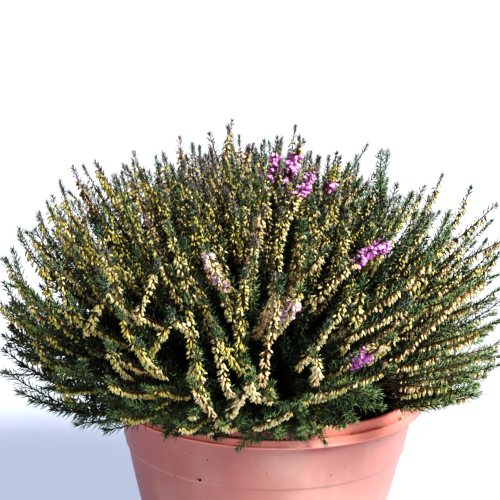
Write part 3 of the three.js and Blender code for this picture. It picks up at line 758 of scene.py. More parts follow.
class Path:
    """A line of points with its running length."""

    def __init__(self, points):
        self.points = np.asarray(points, float)
        steps = np.linalg.norm(np.diff(self.points, axis=0), axis=1)
        self.lengths = np.concatenate([[0.0], np.cumsum(steps)])
        self.total = self.lengths[-1]

    def at(self, distance):
        return np.stack([np.interp(distance, self.lengths, self.points[:, k]) for k in range(3)], -1)

    def heading(self, distance, half=0.002):
        ahead = self.at(np.minimum(distance + half, self.total))
        return unit(ahead - self.at(np.maximum(distance - half, 0)))


def unit(vectors):
    return vectors / np.maximum(np.linalg.norm(vectors, axis=-1, keepdims=True), 1e-12)


def forked_path(shoot, s_from, steps=48):
    """A shoot leaves its branch's axis little by little."""
    s = np.linspace(s_from, 1, steps + 1)
    parted = (np.maximum(0, (s - FORK_START) / (1 - FORK_START)) ** FORK_POWER)[:, None]
    return Path((1 - parted) * bezier(shoot.branch.axis, s) + parted * bezier(stem_curve(shoot), s))


def own_path(shoot, rng):
    """A fill shoot rises from the compost by itself, with a slight wave in it."""
    if hasattr(shoot, "line"):
        return Path(shoot.line)
    s = np.linspace(0.06, 1, 40)
    points = bezier(shoot.curve if hasattr(shoot, "curve") else stem_curve(shoot), s)
    for _ in range(2):
        wave = np.sin(s * rng.uniform(7, 16) + rng.uniform(0, 6))
        points = points + wave[:, None] * rng.normal(0, 0.0009, 3) * np.minimum(1, s * 3)[:, None]
    return Path(points)


def make_branches():
    branches = []
    for name, low, high, count, turn in TIERS:
        for i in range(count):
            azimuth = turn + i * 360 / count
            elevation = (low + high) / 2
            line = SimpleNamespace(
                azimuth=azimuth, elevation=elevation, reach=1, rise=usual_rise(elevation), swing=0
            )
            branches.append(
                SimpleNamespace(
                    name=f"branch_{name}_{i + 1}", top=high, azimuth=azimuth, axis=stem_curve(line), shoots=[]
                )
            )
    return branches


def branch_of(branches, shoot):
    """The branch whose share of the dome holds a shoot's direction."""
    tops = [tier[2] for tier in TIERS]
    top = next((top for top in tops if shoot.elevation < top), tops[-1])
    tier = [branch for branch in branches if branch.top == top]
    return min(tier, key=lambda branch: abs((shoot.azimuth - branch.azimuth + 180) % 360 - 180))


def describe(rows):
    names = "kind", "azimuth", "elevation", "reach", "rise", "swing"
    return [SimpleNamespace(**dict(zip(names, row))) for row in rows]


def spread_shoots(taken):
    """The shoots of the solids that have no place of their own."""
    draw = seeded_draw(SPREAD_SEED)
    tips = np.array([stem_curve(shoot)[3] for shoot in taken])
    shoots = []
    for i in range(SPREAD_COUNT):
        height = SPREAD_LOWEST + (1 - SPREAD_LOWEST) * (i + 0.5) / SPREAD_COUNT
        elevation = math.degrees(math.asin(height))
        tilt, stretch, kind_draw, lean_draw = draw(), draw(), draw(), draw()
        shoot = SimpleNamespace(
            kind="leaf" if kind_draw < LEAFY_SHARE or elevation < LEAFY_BELOW else "bud",
            azimuth=i * GOLDEN_ANGLE,
            elevation=elevation,
            reach=0.9 + 0.1 * stretch,
            rise=usual_rise(elevation) + 12 * (tilt - 0.5),
            swing=16 * (lean_draw - 0.5),
        )
        if np.linalg.norm(tips - stem_curve(shoot)[3], axis=1).min() > SPREAD_ROOM:
            shoots.append(shoot)
    return shoots


def fill_rise(elevation, azimuth):
    """Fill shoots stand steeper high up, and lie further out on the plant's right side."""
    steep = np.interp(elevation, [-38, -20, 0, 20, 40, 60, 90], [-2, 18, 40, 58, 69, 77, 86])
    return steep - 9 * math.cos(math.radians(azimuth)) * math.cos(math.radians(elevation))


def dome_spots(count, lowest, highest, rng):
    """Directions spread evenly over a part of the dome's face."""
    elevations = np.linspace(lowest, highest, 300)
    line = np.array([dome_point(elevation, 1) for elevation in elevations])
    areas = np.linalg.norm(np.diff(line, axis=0), axis=1) * (line[1:, 0] + line[:-1, 0])
    covered = np.concatenate([[0], np.cumsum(areas)])
    azimuths = np.arange(count) * GOLDEN_ANGLE + rng.uniform(-7, 7, count)
    return azimuths, np.interp((np.arange(count) + 0.5) / count * covered[-1], covered, elevations)


def fill_gain(elevation, azimuth):
    """The fill spreads further out low on the left and stays lower high on the right."""
    side = math.cos(math.radians(azimuth))
    left = np.interp(elevation, [-40, -10, 20, 45, 60, 80], [0.14, 0.14, 0.1, 0.03, -0.03, 0.0])
    right = np.interp(elevation, [-20, 0, 20, 40, 60, 80], [0.02, 0.0, -0.03, -0.11, -0.13, -0.05])
    return -side * left if side < 0 else side * right


def in_the_way(shoot):
    """Whether a fill shoot would hang over the clear part of the rim or stand before the dry twig."""
    azimuth = (shoot.azimuth + 180) % 360 - 180
    first, last, highest = CLEAR_RIM
    if shoot.grade == PLAIN and first < azimuth < last and shoot.elevation < highest:
        return True
    points = bezier(stem_curve(shoot), np.linspace(0.2, 1, 30))
    nearer = TWIG_TOP[1] - points[:, 1]
    beside = np.abs(points[:, 0] - SIGHT_X) < SIGHT_HALF_WIDTH
    level = np.abs(points[:, 2] - SIGHT_Z - SIGHT_CLIMB * nearer) < SIGHT_HALF_HEIGHT
    return bool((beside & level & (nearer > SIGHT_START)).any())


def in_a_hollow(shoot, hollows):
    """Whether a fill shoot would close one of the dark hollows."""
    if shoot.grade == DEEP:
        return False
    points = bezier(stem_curve(shoot), np.linspace(0.55, 1, 16))
    return any(np.linalg.norm(points - hollow, axis=1).min() < HOLLOW_RADIUS for hollow in hollows)


def planned_line(shoot):
    """A shoot's line from the compost to its tip, before the slight waves."""
    return shoot.line if hasattr(shoot, "line") else bezier(stem_curve(shoot), np.linspace(0, 1, 40))


def fill_shoots(taken, layer, rng):
    """Finer shoots between the others, which reach a little less far than their neighbours."""
    guides = np.array([planned_line(shoot)[-1] for shoot in taken])
    reaches = np.array([shoot.reach + CLUMPING * rng.normal(0, 1) for shoot in taken])
    tips = list(guides)
    for shoot in taken:
        if shoot.grade == FINE and layer.grade == PLAIN:
            line = Path(planned_line(shoot))
            tips.extend(line.at(line.total - np.array([0, 0.01, 0.022, 0.034, 0.046])))
    shoots = []
    for azimuth, elevation in zip(*dome_spots(layer.count, layer.lowest, layer.highest, rng)):
        radius, z = dome_point(elevation, 1)
        place = on_circle(radius, azimuth, z)
        nearness = 1 / (np.linalg.norm(guides - place, axis=1) ** 2 + 1e-4)
        around = float((nearness * reaches).sum() / nearness.sum())
        leafy = rng.random() < (layer.leafy if elevation > LEAFY_BELOW else max(layer.leafy, 0.7))
        inward = rng.uniform(0, 1) ** 1.6
        reach = around * (layer.far + (layer.near - layer.far) * inward) + fill_gain(elevation, azimuth)
        shoot = SimpleNamespace(
            kind="leaf" if leafy else "bud",
            azimuth=azimuth,
            elevation=elevation,
            reach=min(reach, FARTHEST),
            rise=fill_rise(elevation, azimuth) + rng.normal(0, 8),
            swing=rng.uniform(-24, 24),
            grade=layer.grade,
        )
        tip = stem_curve(shoot)[3]
        crowded = np.linalg.norm(np.array(tips) - tip, axis=1).min() <= layer.room
        if crowded or in_the_way(shoot) or in_a_hollow(shoot, layer.hollows):
            continue
        shoots.append(shoot)
        tips.append(tip)
    return shoots


def skirt_shoots(count, rng):
    """Leafy shoots that lie over the front of the rim and droop a little."""
    shoots = []
    for i in range(count):
        azimuth = SKIRT_FROM + (SKIRT_TO - SKIRT_FROM) * (i + rng.uniform(0, 1)) / count
        middle = 1 - abs(azimuth - SKIRT_MIDDLE) / (SKIRT_TO - SKIRT_FROM)
        radius = rng.uniform(0.118, 0.132)
        drop = rng.uniform(-0.004, 0.016) * middle
        sideways = rng.choice([-1, 1]) * rng.uniform(10, 42)
        curve = [
            on_circle(rng.uniform(0.06, 0.085), azimuth - sideways, SOIL_EDGE_Z),
            on_circle(0.095, azimuth - sideways * 0.8, POT_HEIGHT + rng.uniform(0.012, 0.024)),
            on_circle(0.116, azimuth - sideways * 0.45, POT_HEIGHT + rng.uniform(0.006, 0.016)),
            on_circle(radius, azimuth, POT_HEIGHT + 0.004 - drop),
        ]
        shoots.append(
            SimpleNamespace(
                kind="bud" if rng.random() < 0.2 else "leaf",
                azimuth=azimuth,
                elevation=LOWEST_ELEVATION,
                reach=0.8,
                grade=PLAIN,
                curve=curve,
            )
        )
    return shoots


def grow_plan(foliage, stage):
    """Branches and shoots of the whole plant."""
    branches = make_branches()
    sprays = describe(SPRAYS)
    named = sprays + describe(SIDE_SHOOTS)
    solid = named + spread_shoots(named)
    for i, shoot in enumerate(solid):
        shoot.grade = FINE if i < len(named) else PLAIN
    for shoot in solid:
        shoot.branch = branch_of(branches, shoot)
        shoot.branch.shoots.append(shoot)
    for branch in branches:
        branch.reach = sum(shoot.reach for shoot in branch.shoots) / len(branch.shoots)
    rng = np.random.default_rng(FILL_SEED)
    fill = [placed_shoot(stage, *row) for row in PLACED_SHOOTS]
    hollows = [seen_at(stage, pixel, dome_reach, HOLLOW_REACH) for pixel in HOLLOWS]
    for name in LAYERS:
        layer = SimpleNamespace(**dict(zip(LAYER_VALUES, LAYERS[name])))
        layer.count = getattr(foliage, name)
        layer.hollows = hollows
        fill += fill_shoots(solid if layer.grade == DEEP else solid + fill, layer, rng)
    fill += skirt_shoots(foliage.skirt, rng)
    for shoot in fill:
        shoot.branch = branch_of(branches, shoot)
        shoot.branch.shoots.append(shoot)
        shoot.path = own_path(shoot, rng)
    for shoot in solid:
        shoot.path = forked_path(shoot, SHOOT_START)
    for i, shoot in enumerate(solid + fill):
        shoot.parts_at = shoot.path.total
        settle_character(shoot, i)
    for i, spray in enumerate(sprays):
        start = min(LATEST_START, SPRAY_START * spray.branch.reach / spray.reach)
        spray.name = f"{spray.kind}_spray_{i + 1:02d}"
        spray.bloom = BLOOM_RANGES.get(spray.name, spray.bloom)
        spray.parts_at = spray.path.total - forked_path(spray, start).total
    return SimpleNamespace(branches=branches, sprays=sprays)


def settle_character(shoot, number):
    """What sets one shoot apart: its tuft, its raceme, its colours."""
    rng = np.random.default_rng(SHOOT_SEED + number)
    tip = shoot.path.points[-1]
    shoot.rng = rng
    shoot.tuft = rng.uniform(0.005, 0.011)
    shoot.leafy = getattr(shoot, "leafy", LEAFY_LENGTH[shoot.grade])
    shoot.raceme = min(rng.uniform(0.04, 0.08), shoot.leafy - shoot.tuft)
    shoot.vigour = np.interp(tip[2], [0.13, 0.19, 0.29], [1.1, 0.98, 0.9])
    shoot.vigour *= np.interp(tip[0], [-0.2, -0.196], [0.75, 1])
    shoot.vigour *= np.interp(tip[1], [0.178, 0.182], [1, 0.8])
    shoot.ripeness = np.clip(0.42 + 0.7 * tip[0] + 0.5 * (tip[2] - 0.2) + rng.normal(0, 0.18), 0.05, 0.9)
    shoot.weather = np.clip(0.5 + 7.5 * (tip[2] - 0.25) - 1.2 * tip[0] + rng.normal(0, 0.25), 0, 1.25)
    shoot.bloom = BLOOM_RANGES["side"]
    if shoot.kind == "peach":
        shoot.ripeness = 0.95
    if shoot.kind == "dead":
        shoot.weather = 1.6


# Meshes


def turned(first, second, angles):
    """Directions between two axes, each at its angle from the first."""
    return np.cos(angles)[:, None] * first + np.sin(angles)[:, None] * second


def corners_and_totals(faces):
    return np.concatenate([np.array(face) for face in faces]), np.array([len(face) for face in faces])


class Form:
    """A small solid to be set many times: points, faces and how far along each point lies."""

    def __init__(self, points, faces):
        self.points = np.array(points, float)
        self.corners, self.totals = corners_and_totals(faces)
        self.along = self.points[:, 2].copy()


def spindle(stations, sides, bend=0.0):
    """A form along Z from one point to another, with rings of (height, half width, half depth) between."""
    points = [(0, 0, 0)]
    for z, width, depth in stations:
        for i in range(sides):
            turn = 2 * math.pi * (i + 0.25) / sides
            points.append((width * math.cos(turn), depth * math.sin(turn) + bend * z * z, z))
    points.append((0, bend, 1))
    last = len(points) - 1
    faces = [(0, 1 + (i + 1) % sides, 1 + i) for i in range(sides)]
    for ring in range(len(stations) - 1):
        base = 1 + ring * sides
        for i in range(sides):
            after = (i + 1) % sides
            faces.append((base + i, base + after, base + sides + after, base + sides + i))
    base = last - sides
    faces += [(base + i, base + (i + 1) % sides, last) for i in range(sides)]
    return Form(points, faces)


def sliver():
    """The plainest needle: three corners at its root and one at its tip."""
    root = [(0.5 * math.cos(t), 0.32 * math.sin(t), 0.0) for t in np.radians([90, 210, 330])]
    return Form(root + [(0, 0.3, 1)], [(0, 2, 1), (0, 1, 3), (1, 2, 3), (2, 0, 3)])


NEEDLES = {FINE: spindle([(0.45, 0.5, 0.32)], 3, bend=0.35), PLAIN: sliver(), DEEP: sliver()}
FINE_BUD = [(0.42, 0.42, 0.42), (0.74, 0.48, 0.48)]
PLAIN_BUD = [(0.6, 0.6, 0.6)]
CLOSED_BUDS = {FINE: spindle(FINE_BUD, 4), PLAIN: spindle(PLAIN_BUD, 3), DEEP: spindle(PLAIN_BUD, 3)}
OPEN_BELL = [(0.2, 0.12, 0.12), (0.34, 0.4, 0.4), (0.6, 0.5, 0.5), (0.84, 0.42, 0.42), (0.93, 0.5, 0.5)]
BELL = spindle(OPEN_BELL, 6)
ANTHER = spindle([(0.5, 0.5, 0.5)], 4)


class Stock:
    """Points, faces and point values gathered for one piece."""

    def __init__(self):
        self.points, self.corners, self.totals, self.finishes = [], [], [], []
        self.values = {"along": [], "tone": [], "age": []}
        self.count = 0

    def add(self, points, corners, totals, finish, **values):
        self.points.append(points)
        self.corners.append(corners + self.count)
        self.totals.append(totals)
        self.finishes.append(np.full(len(totals), finish))
        for name, parts in self.values.items():
            parts.append(np.broadcast_to(values[name], len(points)).astype(np.float32))
        self.count += len(points)

    def scatter(self, form, roots, axes, widths, lengths, finish, tone, age, only=True):
        """Sets a form at many roots, or only at some, each with axes and sizes of its own."""
        chosen = np.broadcast_to(only, len(roots))
        number = int(chosen.sum())
        if not number:
            return
        across, out, ahead = (axis[chosen] for axis in axes)
        values = (np.broadcast_to(value, len(roots))[chosen] for value in (widths, lengths, tone, age))
        widths, lengths, tone, age = values
        local = form.points[None]
        points = (
            roots[chosen][:, None]
            + local[..., 0:1] * (across * widths[:, None])[:, None]
            + local[..., 1:2] * (out * widths[:, None])[:, None]
            + local[..., 2:3] * (ahead * lengths[:, None])[:, None]
        )
        size = len(form.points)
        corners = (form.corners[None] + size * np.arange(number)[:, None]).ravel()
        self.add(
            points.reshape(-1, 3),
            corners,
            np.tile(form.totals, number),
            finish,
            along=np.tile(form.along, number),
            tone=np.repeat(tone, size),
            age=np.repeat(age, size),
        )

    def tube(self, points, radii, sides, finish, tone, age):
        """A closed round stem along a line of points."""
        count = len(points)
        heading = unit(np.gradient(points, axis=0))
        side = unit(np.cross(heading[0], [0.31, 0.17, 0.93]))
        turns = 2 * math.pi * np.arange(sides) / sides
        rings = []
        for k in range(count):
            side = unit(side - heading[k] * np.dot(side, heading[k]))
            rings.append(points[k] + radii[k] * turned(side, np.cross(heading[k], side), turns))
        faces = []
        for k in range(count - 1):
            for i in range(sides):
                after = (i + 1) % sides
                faces.append((k * sides + i, k * sides + after, (k + 1) * sides + after, (k + 1) * sides + i))
        faces.append(tuple(reversed(range(sides))))
        faces.append(tuple(range((count - 1) * sides, count * sides)))
        along = np.repeat(np.linspace(0, 1, count), sides)
        self.add(np.concatenate(rings), *corners_and_totals(faces), finish, along=along, tone=tone, age=age)

    def build(self, name, materials):
        points = np.concatenate(self.points).astype(np.float32)
        corners = np.concatenate(self.corners).astype(np.int32)
        totals = np.concatenate(self.totals).astype(np.int32)
        mesh = bpy.data.meshes.new(name)
        mesh.vertices.add(len(points))
        mesh.vertices.foreach_set("co", points.ravel())
        mesh.loops.add(len(corners))
        mesh.loops.foreach_set("vertex_index", corners)
        mesh.polygons.add(len(totals))
        starts = np.concatenate([[0], np.cumsum(totals)[:-1]])
        mesh.polygons.foreach_set("loop_start", starts.astype(np.int32))
        mesh.polygons.foreach_set("material_index", np.concatenate(self.finishes).astype(np.int32))
        mesh.polygons.foreach_set("use_smooth", np.ones(len(totals), bool))
        for name_of_value, parts in self.values.items():
            attribute = mesh.attributes.new(name_of_value, "FLOAT", "POINT")
            attribute.data.foreach_set("value", np.concatenate(parts))
        mesh.update(calc_edges=True)
        mesh.validate()
        for material in materials:
            mesh.materials.append(material)
        return link(bpy.data.objects.new(name, mesh))


def link(piece):
    bpy.context.scene.collection.objects.link(piece)
    return piece


def settle(piece, slot, *nodes):
    """A finished piece rides on the plant's one body and stands for its CAD nodes."""
    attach(piece, BODY)
    if nodes:
        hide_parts(*nodes)
    return piece


# Foliage


def cross_axes(heading):
    """Two axes square to each heading: one level, one pointing down and out."""
    reference = np.where(np.abs(heading[:, 2:3]) > 0.985, [[1.0, 0.0, 0.0]], [UP])
    level = unit(np.cross(heading, reference))
    return level, np.cross(heading, level)


def leaning_axes(heading, out, lean):
    """Axes across, out from and along what leans away from its stem."""
    ahead = turned(heading, out, lean)
    across = unit(np.cross(heading, out))
    return across, np.cross(ahead, across), ahead


def needle_places(shoot, start, end, foliage):
    """Distance along the shoot and angle round it of each needle, four to a whorl."""
    rng = shoot.rng
    distances = []
    distance = shoot.path.total - 0.001
    pitch = foliage.pitch * (2.3 if shoot.grade == DEEP else 1.0)
    while distance > start:
        if distance < end:
            distances.append(distance)
        from_tip = shoot.path.total - distance
        distance -= pitch * (0.4 + 0.6 * min(1, from_tip / 0.014)) * rng.uniform(0.85, 1.15)
    count = len(distances)
    whorls = np.repeat(np.array(distances), 4)
    turns = np.tile(np.arange(4) * 90.0, count) + np.repeat(np.arange(count) * 45.0, 4)
    turns = np.radians(turns + rng.uniform(-14, 14, len(turns)))
    return whorls + rng.uniform(-0.0004, 0.0004, len(whorls)), turns


def dress_with_needles(stock, shoot, start, end, foliage):
    """Needles in alternating whorls of four, dense at the tip and sparser on older wood."""
    rng = shoot.rng
    distances, turns = needle_places(shoot, start, end, foliage)
    if not len(distances):
        return
    from_tip = shoot.path.total - distances
    heading = shoot.path.heading(distances)
    out = turned(*cross_axes(heading), turns)
    in_raceme = (from_tip > shoot.tuft) & (from_tip < shoot.tuft + shoot.raceme)
    flowering = shoot.kind not in ("leaf", "dead")
    hidden = in_raceme & flowering & (out[:, 2] < -0.1)
    lost = np.interp(from_tip, [0.032, 0.056, 0.1], [0, 0.56, 0.76]) * (0.6 if shoot.grade == FINE else 1.0)
    kept = ~hidden & (rng.random(len(turns)) > lost) & (from_tip < shoot.leafy)
    distances, from_tip, heading, out = distances[kept], from_tip[kept], heading[kept], out[kept]
    count = len(distances)
    lean = np.interp(from_tip, [0, 0.004, 0.016, 0.06], [24, 46, 54, 64])
    axes = leaning_axes(heading, out, np.radians(lean + rng.normal(0, 10, count)))
    grown = shoot.vigour * (1.0 if shoot.kind == "leaf" else 0.88)
    size = np.interp(from_tip, [0, 0.004, 0.01, 0.03], [0.66, 0.84, 0.96, 1])
    size = size * rng.uniform(0.78, 1.12, count) * grown
    broad = np.interp(from_tip, [0.03, 0.06], [1, 1.7]) * (1.6 if shoot.grade == DEEP else 1.0)
    widths = foliage.needle_width * broad * rng.uniform(0.9, 1.15, count)
    roots = shoot.path.at(distances) + out * foliage.tip_radius * 0.6
    # Tone differs at random, and it is lowered further from the tip and on the deep shoots, which paints
    # shade into the inside of the bush
    tone = rng.uniform(0.2, 1, count) * np.interp(from_tip, [0.03, 0.07], [1, 0.4])
    tone = tone * (0.18 if shoot.grade == DEEP else 1)
    age = np.clip(shoot.weather * np.interp(from_tip, [0, 0.03, 0.06], [1, 0.6, 0.25]), 0, 1.6)
    stock.scatter(NEEDLES[shoot.grade], roots, axes, widths, foliage.needle_length * size, LEAF, tone, age)


def dress_with_buds(stock, shoot, start, end, flowers, foliage):
    """A raceme of buds or bells that hang from the underside of its shoot."""
    if shoot.kind == "leaf":
        return
    rng = shoot.rng
    blooming = shoot.kind in ("pink", "pale")
    bare, spreading, hanging = (40, 1.1, 0.5) if blooming else (95, 0.75, 0.8)
    top, foot = shoot.tuft, shoot.tuft + shoot.raceme
    if blooming:
        top, foot = min(top, shoot.bloom[0]), max(foot, shoot.bloom[1])
    first = shoot.path.total - foot
    last = shoot.path.total - top
    whorls = np.arange(max(first, start), min(last, end), foliage.pitch)
    fullness = 0.8 + 0.4 * np.sin(whorls * 420 + rng.uniform(0, 6)) + rng.normal(0, 0.2, len(whorls))
    if blooming:
        fullness = np.full(len(whorls), 1.6)
    if shoot.grade == FINE:
        fullness = fullness * (1 + 0.45 * np.abs(shoot.path.heading(whorls)[:, 2]))
    numbers = rng.poisson(flowers.per_whorl * fullness.clip(0.1, 2)).clip(0, 8)
    distances = np.repeat(whorls, numbers)
    if not len(distances):
        return
    distances = distances + rng.uniform(-0.001, 0.001, len(distances))
    count = len(distances)
    heading = shoot.path.heading(distances)
    level, down = cross_axes(heading)
    lying = np.sqrt(np.clip(1 - heading[:, 2:3] ** 2, 0, 1))
    reach = np.pi - lying[:, 0] * np.radians(bare)
    out = turned(down, level, rng.uniform(-1, 1, count) * reach)
    ahead = unit(out * spreading - UP * hanging + rng.normal(0, 0.28, (count, 3)))
    across = unit(np.cross(ahead, heading + 1e-6))
    axes = across, np.cross(ahead, across), ahead
    roots = shoot.path.at(distances) + out * foliage.tip_radius
    from_end = shoot.path.total - distances
    from_tip = from_end - shoot.tuft
    size = np.interp(from_tip / shoot.raceme, [0, 0.12, 0.8, 1], [0.72, 0.95, 1.0, 0.85])
    size *= rng.uniform(0.88, 1.1, count)
    tone = rng.uniform(0, 1, count)
    age = np.clip(shoot.ripeness + 0.25 * (from_tip / shoot.raceme - 0.5) + rng.normal(0, 0.17, count), 0, 1)
    if shoot.kind == "dead":
        age = np.full(count, 1.5)
    in_bloom = np.zeros(count, bool)
    if blooming:
        in_bloom = (from_end > shoot.bloom[0]) & (from_end < shoot.bloom[1])
    if shoot.kind == "pale":
        in_bloom = in_bloom & (rng.random(count) < 0.55)
    buds = flowers.bud_width * size, flowers.bud_length * size
    bells = flowers.bell_width * size, flowers.bell_length * size
    paleness = 0.0 if shoot.kind == "pink" else 1.0
    stock.scatter(CLOSED_BUDS[shoot.grade], roots, axes, *buds, BUDS, tone, age, only=~in_bloom)
    stock.scatter(BELL, roots, axes, *bells, BELLS, tone, paleness, only=in_bloom)
    mouths = roots + ahead * bells[1][:, None] * 0.9
    tips = flowers.bell_width * 0.42, 0.0016
    stock.scatter(ANTHER, mouths, axes, *tips, ANTHERS, tone, paleness, only=in_bloom)


def dress_with_twigs(stock, shoot, start, end):
    """Short dead side twigs, which fill the dark inside of the bush."""
    rng = shoot.rng
    first = max(start, 0.15 * shoot.path.total)
    last = min(end, shoot.path.total - LEAFY_LENGTH[shoot.grade] + 0.02)
    distances = np.arange(first, last, 0.008)
    if not len(distances) or shoot.leafy < LEAFY_LENGTH[shoot.grade]:
        return
    count = len(distances)
    heading = shoot.path.heading(distances)
    out = turned(*cross_axes(heading), rng.uniform(0, 2 * math.pi, count))
    axes = leaning_axes(heading, out, np.radians(rng.uniform(35, 80, count)))
    lengths = rng.uniform(0.01, 0.022, count)
    tone = rng.uniform(0, 1, count)
    stock.scatter(NEEDLES[DEEP], shoot.path.at(distances), axes, 0.0015, lengths, BARK, tone, 1.0)


def dress_stem(stock, shoot, start, end, foliage):
    """The stem of a shoot, thicker and older towards its foot."""
    count = max(3, int((end - start) / (0.012 if shoot.grade == FINE else 0.024)) + 2)
    distances = np.linspace(start, end, count)
    from_tip = shoot.path.total - distances
    thicker = np.array([0.4, 1, 1.3, 2.2, 3.6]) * foliage.tip_radius
    radii = np.interp(from_tip, [0, 0.004, 0.05, 0.13, 0.25], thicker)
    age = np.interp(from_tip, [0, 0.03, 0.12], [0.0, 0.5, 1.0]).mean()
    stock.tube(shoot.path.at(distances), radii, STEM_SIDES[shoot.grade], BARK, shoot.rng.uniform(0, 1), age)


def dress_shoot(stock, shoot, start, end, foliage, flowers):
    """All that a shoot bears between two distances along it."""
    dress_stem(stock, shoot, start, end, foliage)
    dress_with_needles(stock, shoot, start, end, foliage)
    dress_with_buds(stock, shoot, start, end, flowers, foliage)
    dress_with_twigs(stock, shoot, start, end)


def dress_branch(stock, branch):
    """The woody stem of a branch, from its root in the compost to where its shoots part."""
    s = np.linspace(0, 0.5, 14)
    points = bezier(branch.axis, s)
    root = points[0] - UP * 0.03
    points = np.concatenate([[root], points])
    radii = np.interp(np.linspace(0, 1, len(points)), [0, 0.1, 0.5, 1], [0.9, 1.0, 0.7, 0.4]) * STEM_RADIUS
    stock.tube(points, radii, 8, BARK, 0.3, 1.0)


# Finishes of the plant


def bark_finish(foliage):
    finish = Finish("heath_bark", roughness=0.75, specular=0.3)
    ridges = finish.noise(900, 4, stretch=(1, 1, 0.25))
    stem = finish.mix(finish.attribute("age"), foliage.tan, foliage.bark)
    finish.colour(finish.mix(ridges.smooth(0.35, 0.75) * 0.5, stem, foliage.bark))
    finish.bump(ridges, 0.6, 0.0004)
    return finish.material


def needle_finish(foliage):
    finish = Finish("heath_needle", roughness=0.42, specular=0.4)
    tone, along, age = (finish.attribute(name) for name in ("tone", "along", "age"))
    green = finish.mix(tone.smooth(0.5, 1.0) * 0.75, foliage.green, foliage.fresh)
    weathered = finish.mix(age.smooth(0.15, 0.7), green, foliage.blue)
    weathered = finish.mix(age.smooth(0.5, 1.1), weathered, foliage.mauve)
    rooted = finish.mix(along.smooth(0.0, 0.35), foliage.fresh, weathered)
    # Low tones mix towards the near-black inner colour: painted shade inside the bush
    shaded = (1 - tone.smooth(0.0, 0.42)) * 0.85
    finish.colour(finish.mix(shaded, rooted, foliage.painted_inner_shade))
    return finish.material


def bud_finish(flowers):
    finish = Finish("heath_bud", roughness=0.38, specular=0.45)
    tone, along, age = (finish.attribute(name) for name in ("tone", "along", "age"))
    grown = finish.mix(age.smooth(0.1, 0.5), flowers.young, flowers.cream)
    ripe = finish.mix(age.smooth(0.5, 1.0), grown, flowers.peach)
    withered = finish.mix(age.smooth(1.1, 1.4), ripe, flowers.withered)
    tipped = finish.mix(along.smooth(0.45, 0.95) * 0.4, withered, flowers.cream)
    rooted = finish.mix(along.smooth(0.2, 0.55), flowers.calyx, tipped)
    finish.colour(finish.mix(tone.smooth(0.0, 1.0) * 0.42, rooted, flowers.young))
    return finish.material


def bell_finish(flowers):
    finish = Finish("heath_bell", roughness=0.45, specular=0.35)
    tone, along, age = (finish.attribute(name) for name in ("tone", "along", "age"))
    petal = finish.mix(age, flowers.pink, flowers.pale)
    strong = 1 - age * 0.7
    # Each bell pales towards its mouth: a painted highlight, weaker on the pale bells
    lit = finish.mix(along.smooth(0.3, 0.95) * 0.35 * strong, petal, flowers.bell_highlight)
    finish.colour(finish.mix(tone * 0.3 * strong, lit, flowers.deep_pink))
    return finish.material


def anther_finish(flowers):
    finish = Finish("heath_anther", roughness=0.6)
    tone = finish.attribute("tone")
    finish.colour(finish.mix(tone, flowers.anther, flowers.red_anther))
    return finish.material


def plant_finishes(scene):
    """The five finishes of the plant, made once."""
    foliage, flowers = scene.heath_foliage, scene.heath_flowers
    if "heath_bark" not in bpy.data.materials:
        bark_finish(foliage)
        needle_finish(foliage)
        bud_finish(flowers)
        bell_finish(flowers)
        anther_finish(flowers)
    names = "bark", "needle", "bud", "bell", "anther"
    return [bpy.data.materials[f"heath_{name}"] for name in names]


# Pot


def wall_radius(z):
    """Radius of the pot's wall outside: curved below the shoulder, straight above it."""
    if z >= SHOULDER_Z:
        climb = (z - SHOULDER_Z) / (FLANGE_FOOT_Z - SHOULDER_Z)
        neck = SHOULDER_RADIUS + SHOULDER_STEP
        return neck + (NECK_RADIUS - neck) * min(climb, 1)
    depth = SHOULDER_Z - z
    return SHOULDER_RADIUS - WALL_TAPER * depth - WALL_CURVE * depth * depth


def soil_radius(z):
    """Radius of the compost where it fills the pot."""
    return wall_radius(z) - WALL_THICKNESS - SOIL_GAP


def arc(centre, radius, start, end, count):
    """Points of a round edge, from one angle to another, in degrees."""
    turns = np.radians(np.linspace(start, end, count))
    return [(centre[0] + radius * math.cos(t), centre[1] + radius * math.sin(t)) for t in turns]


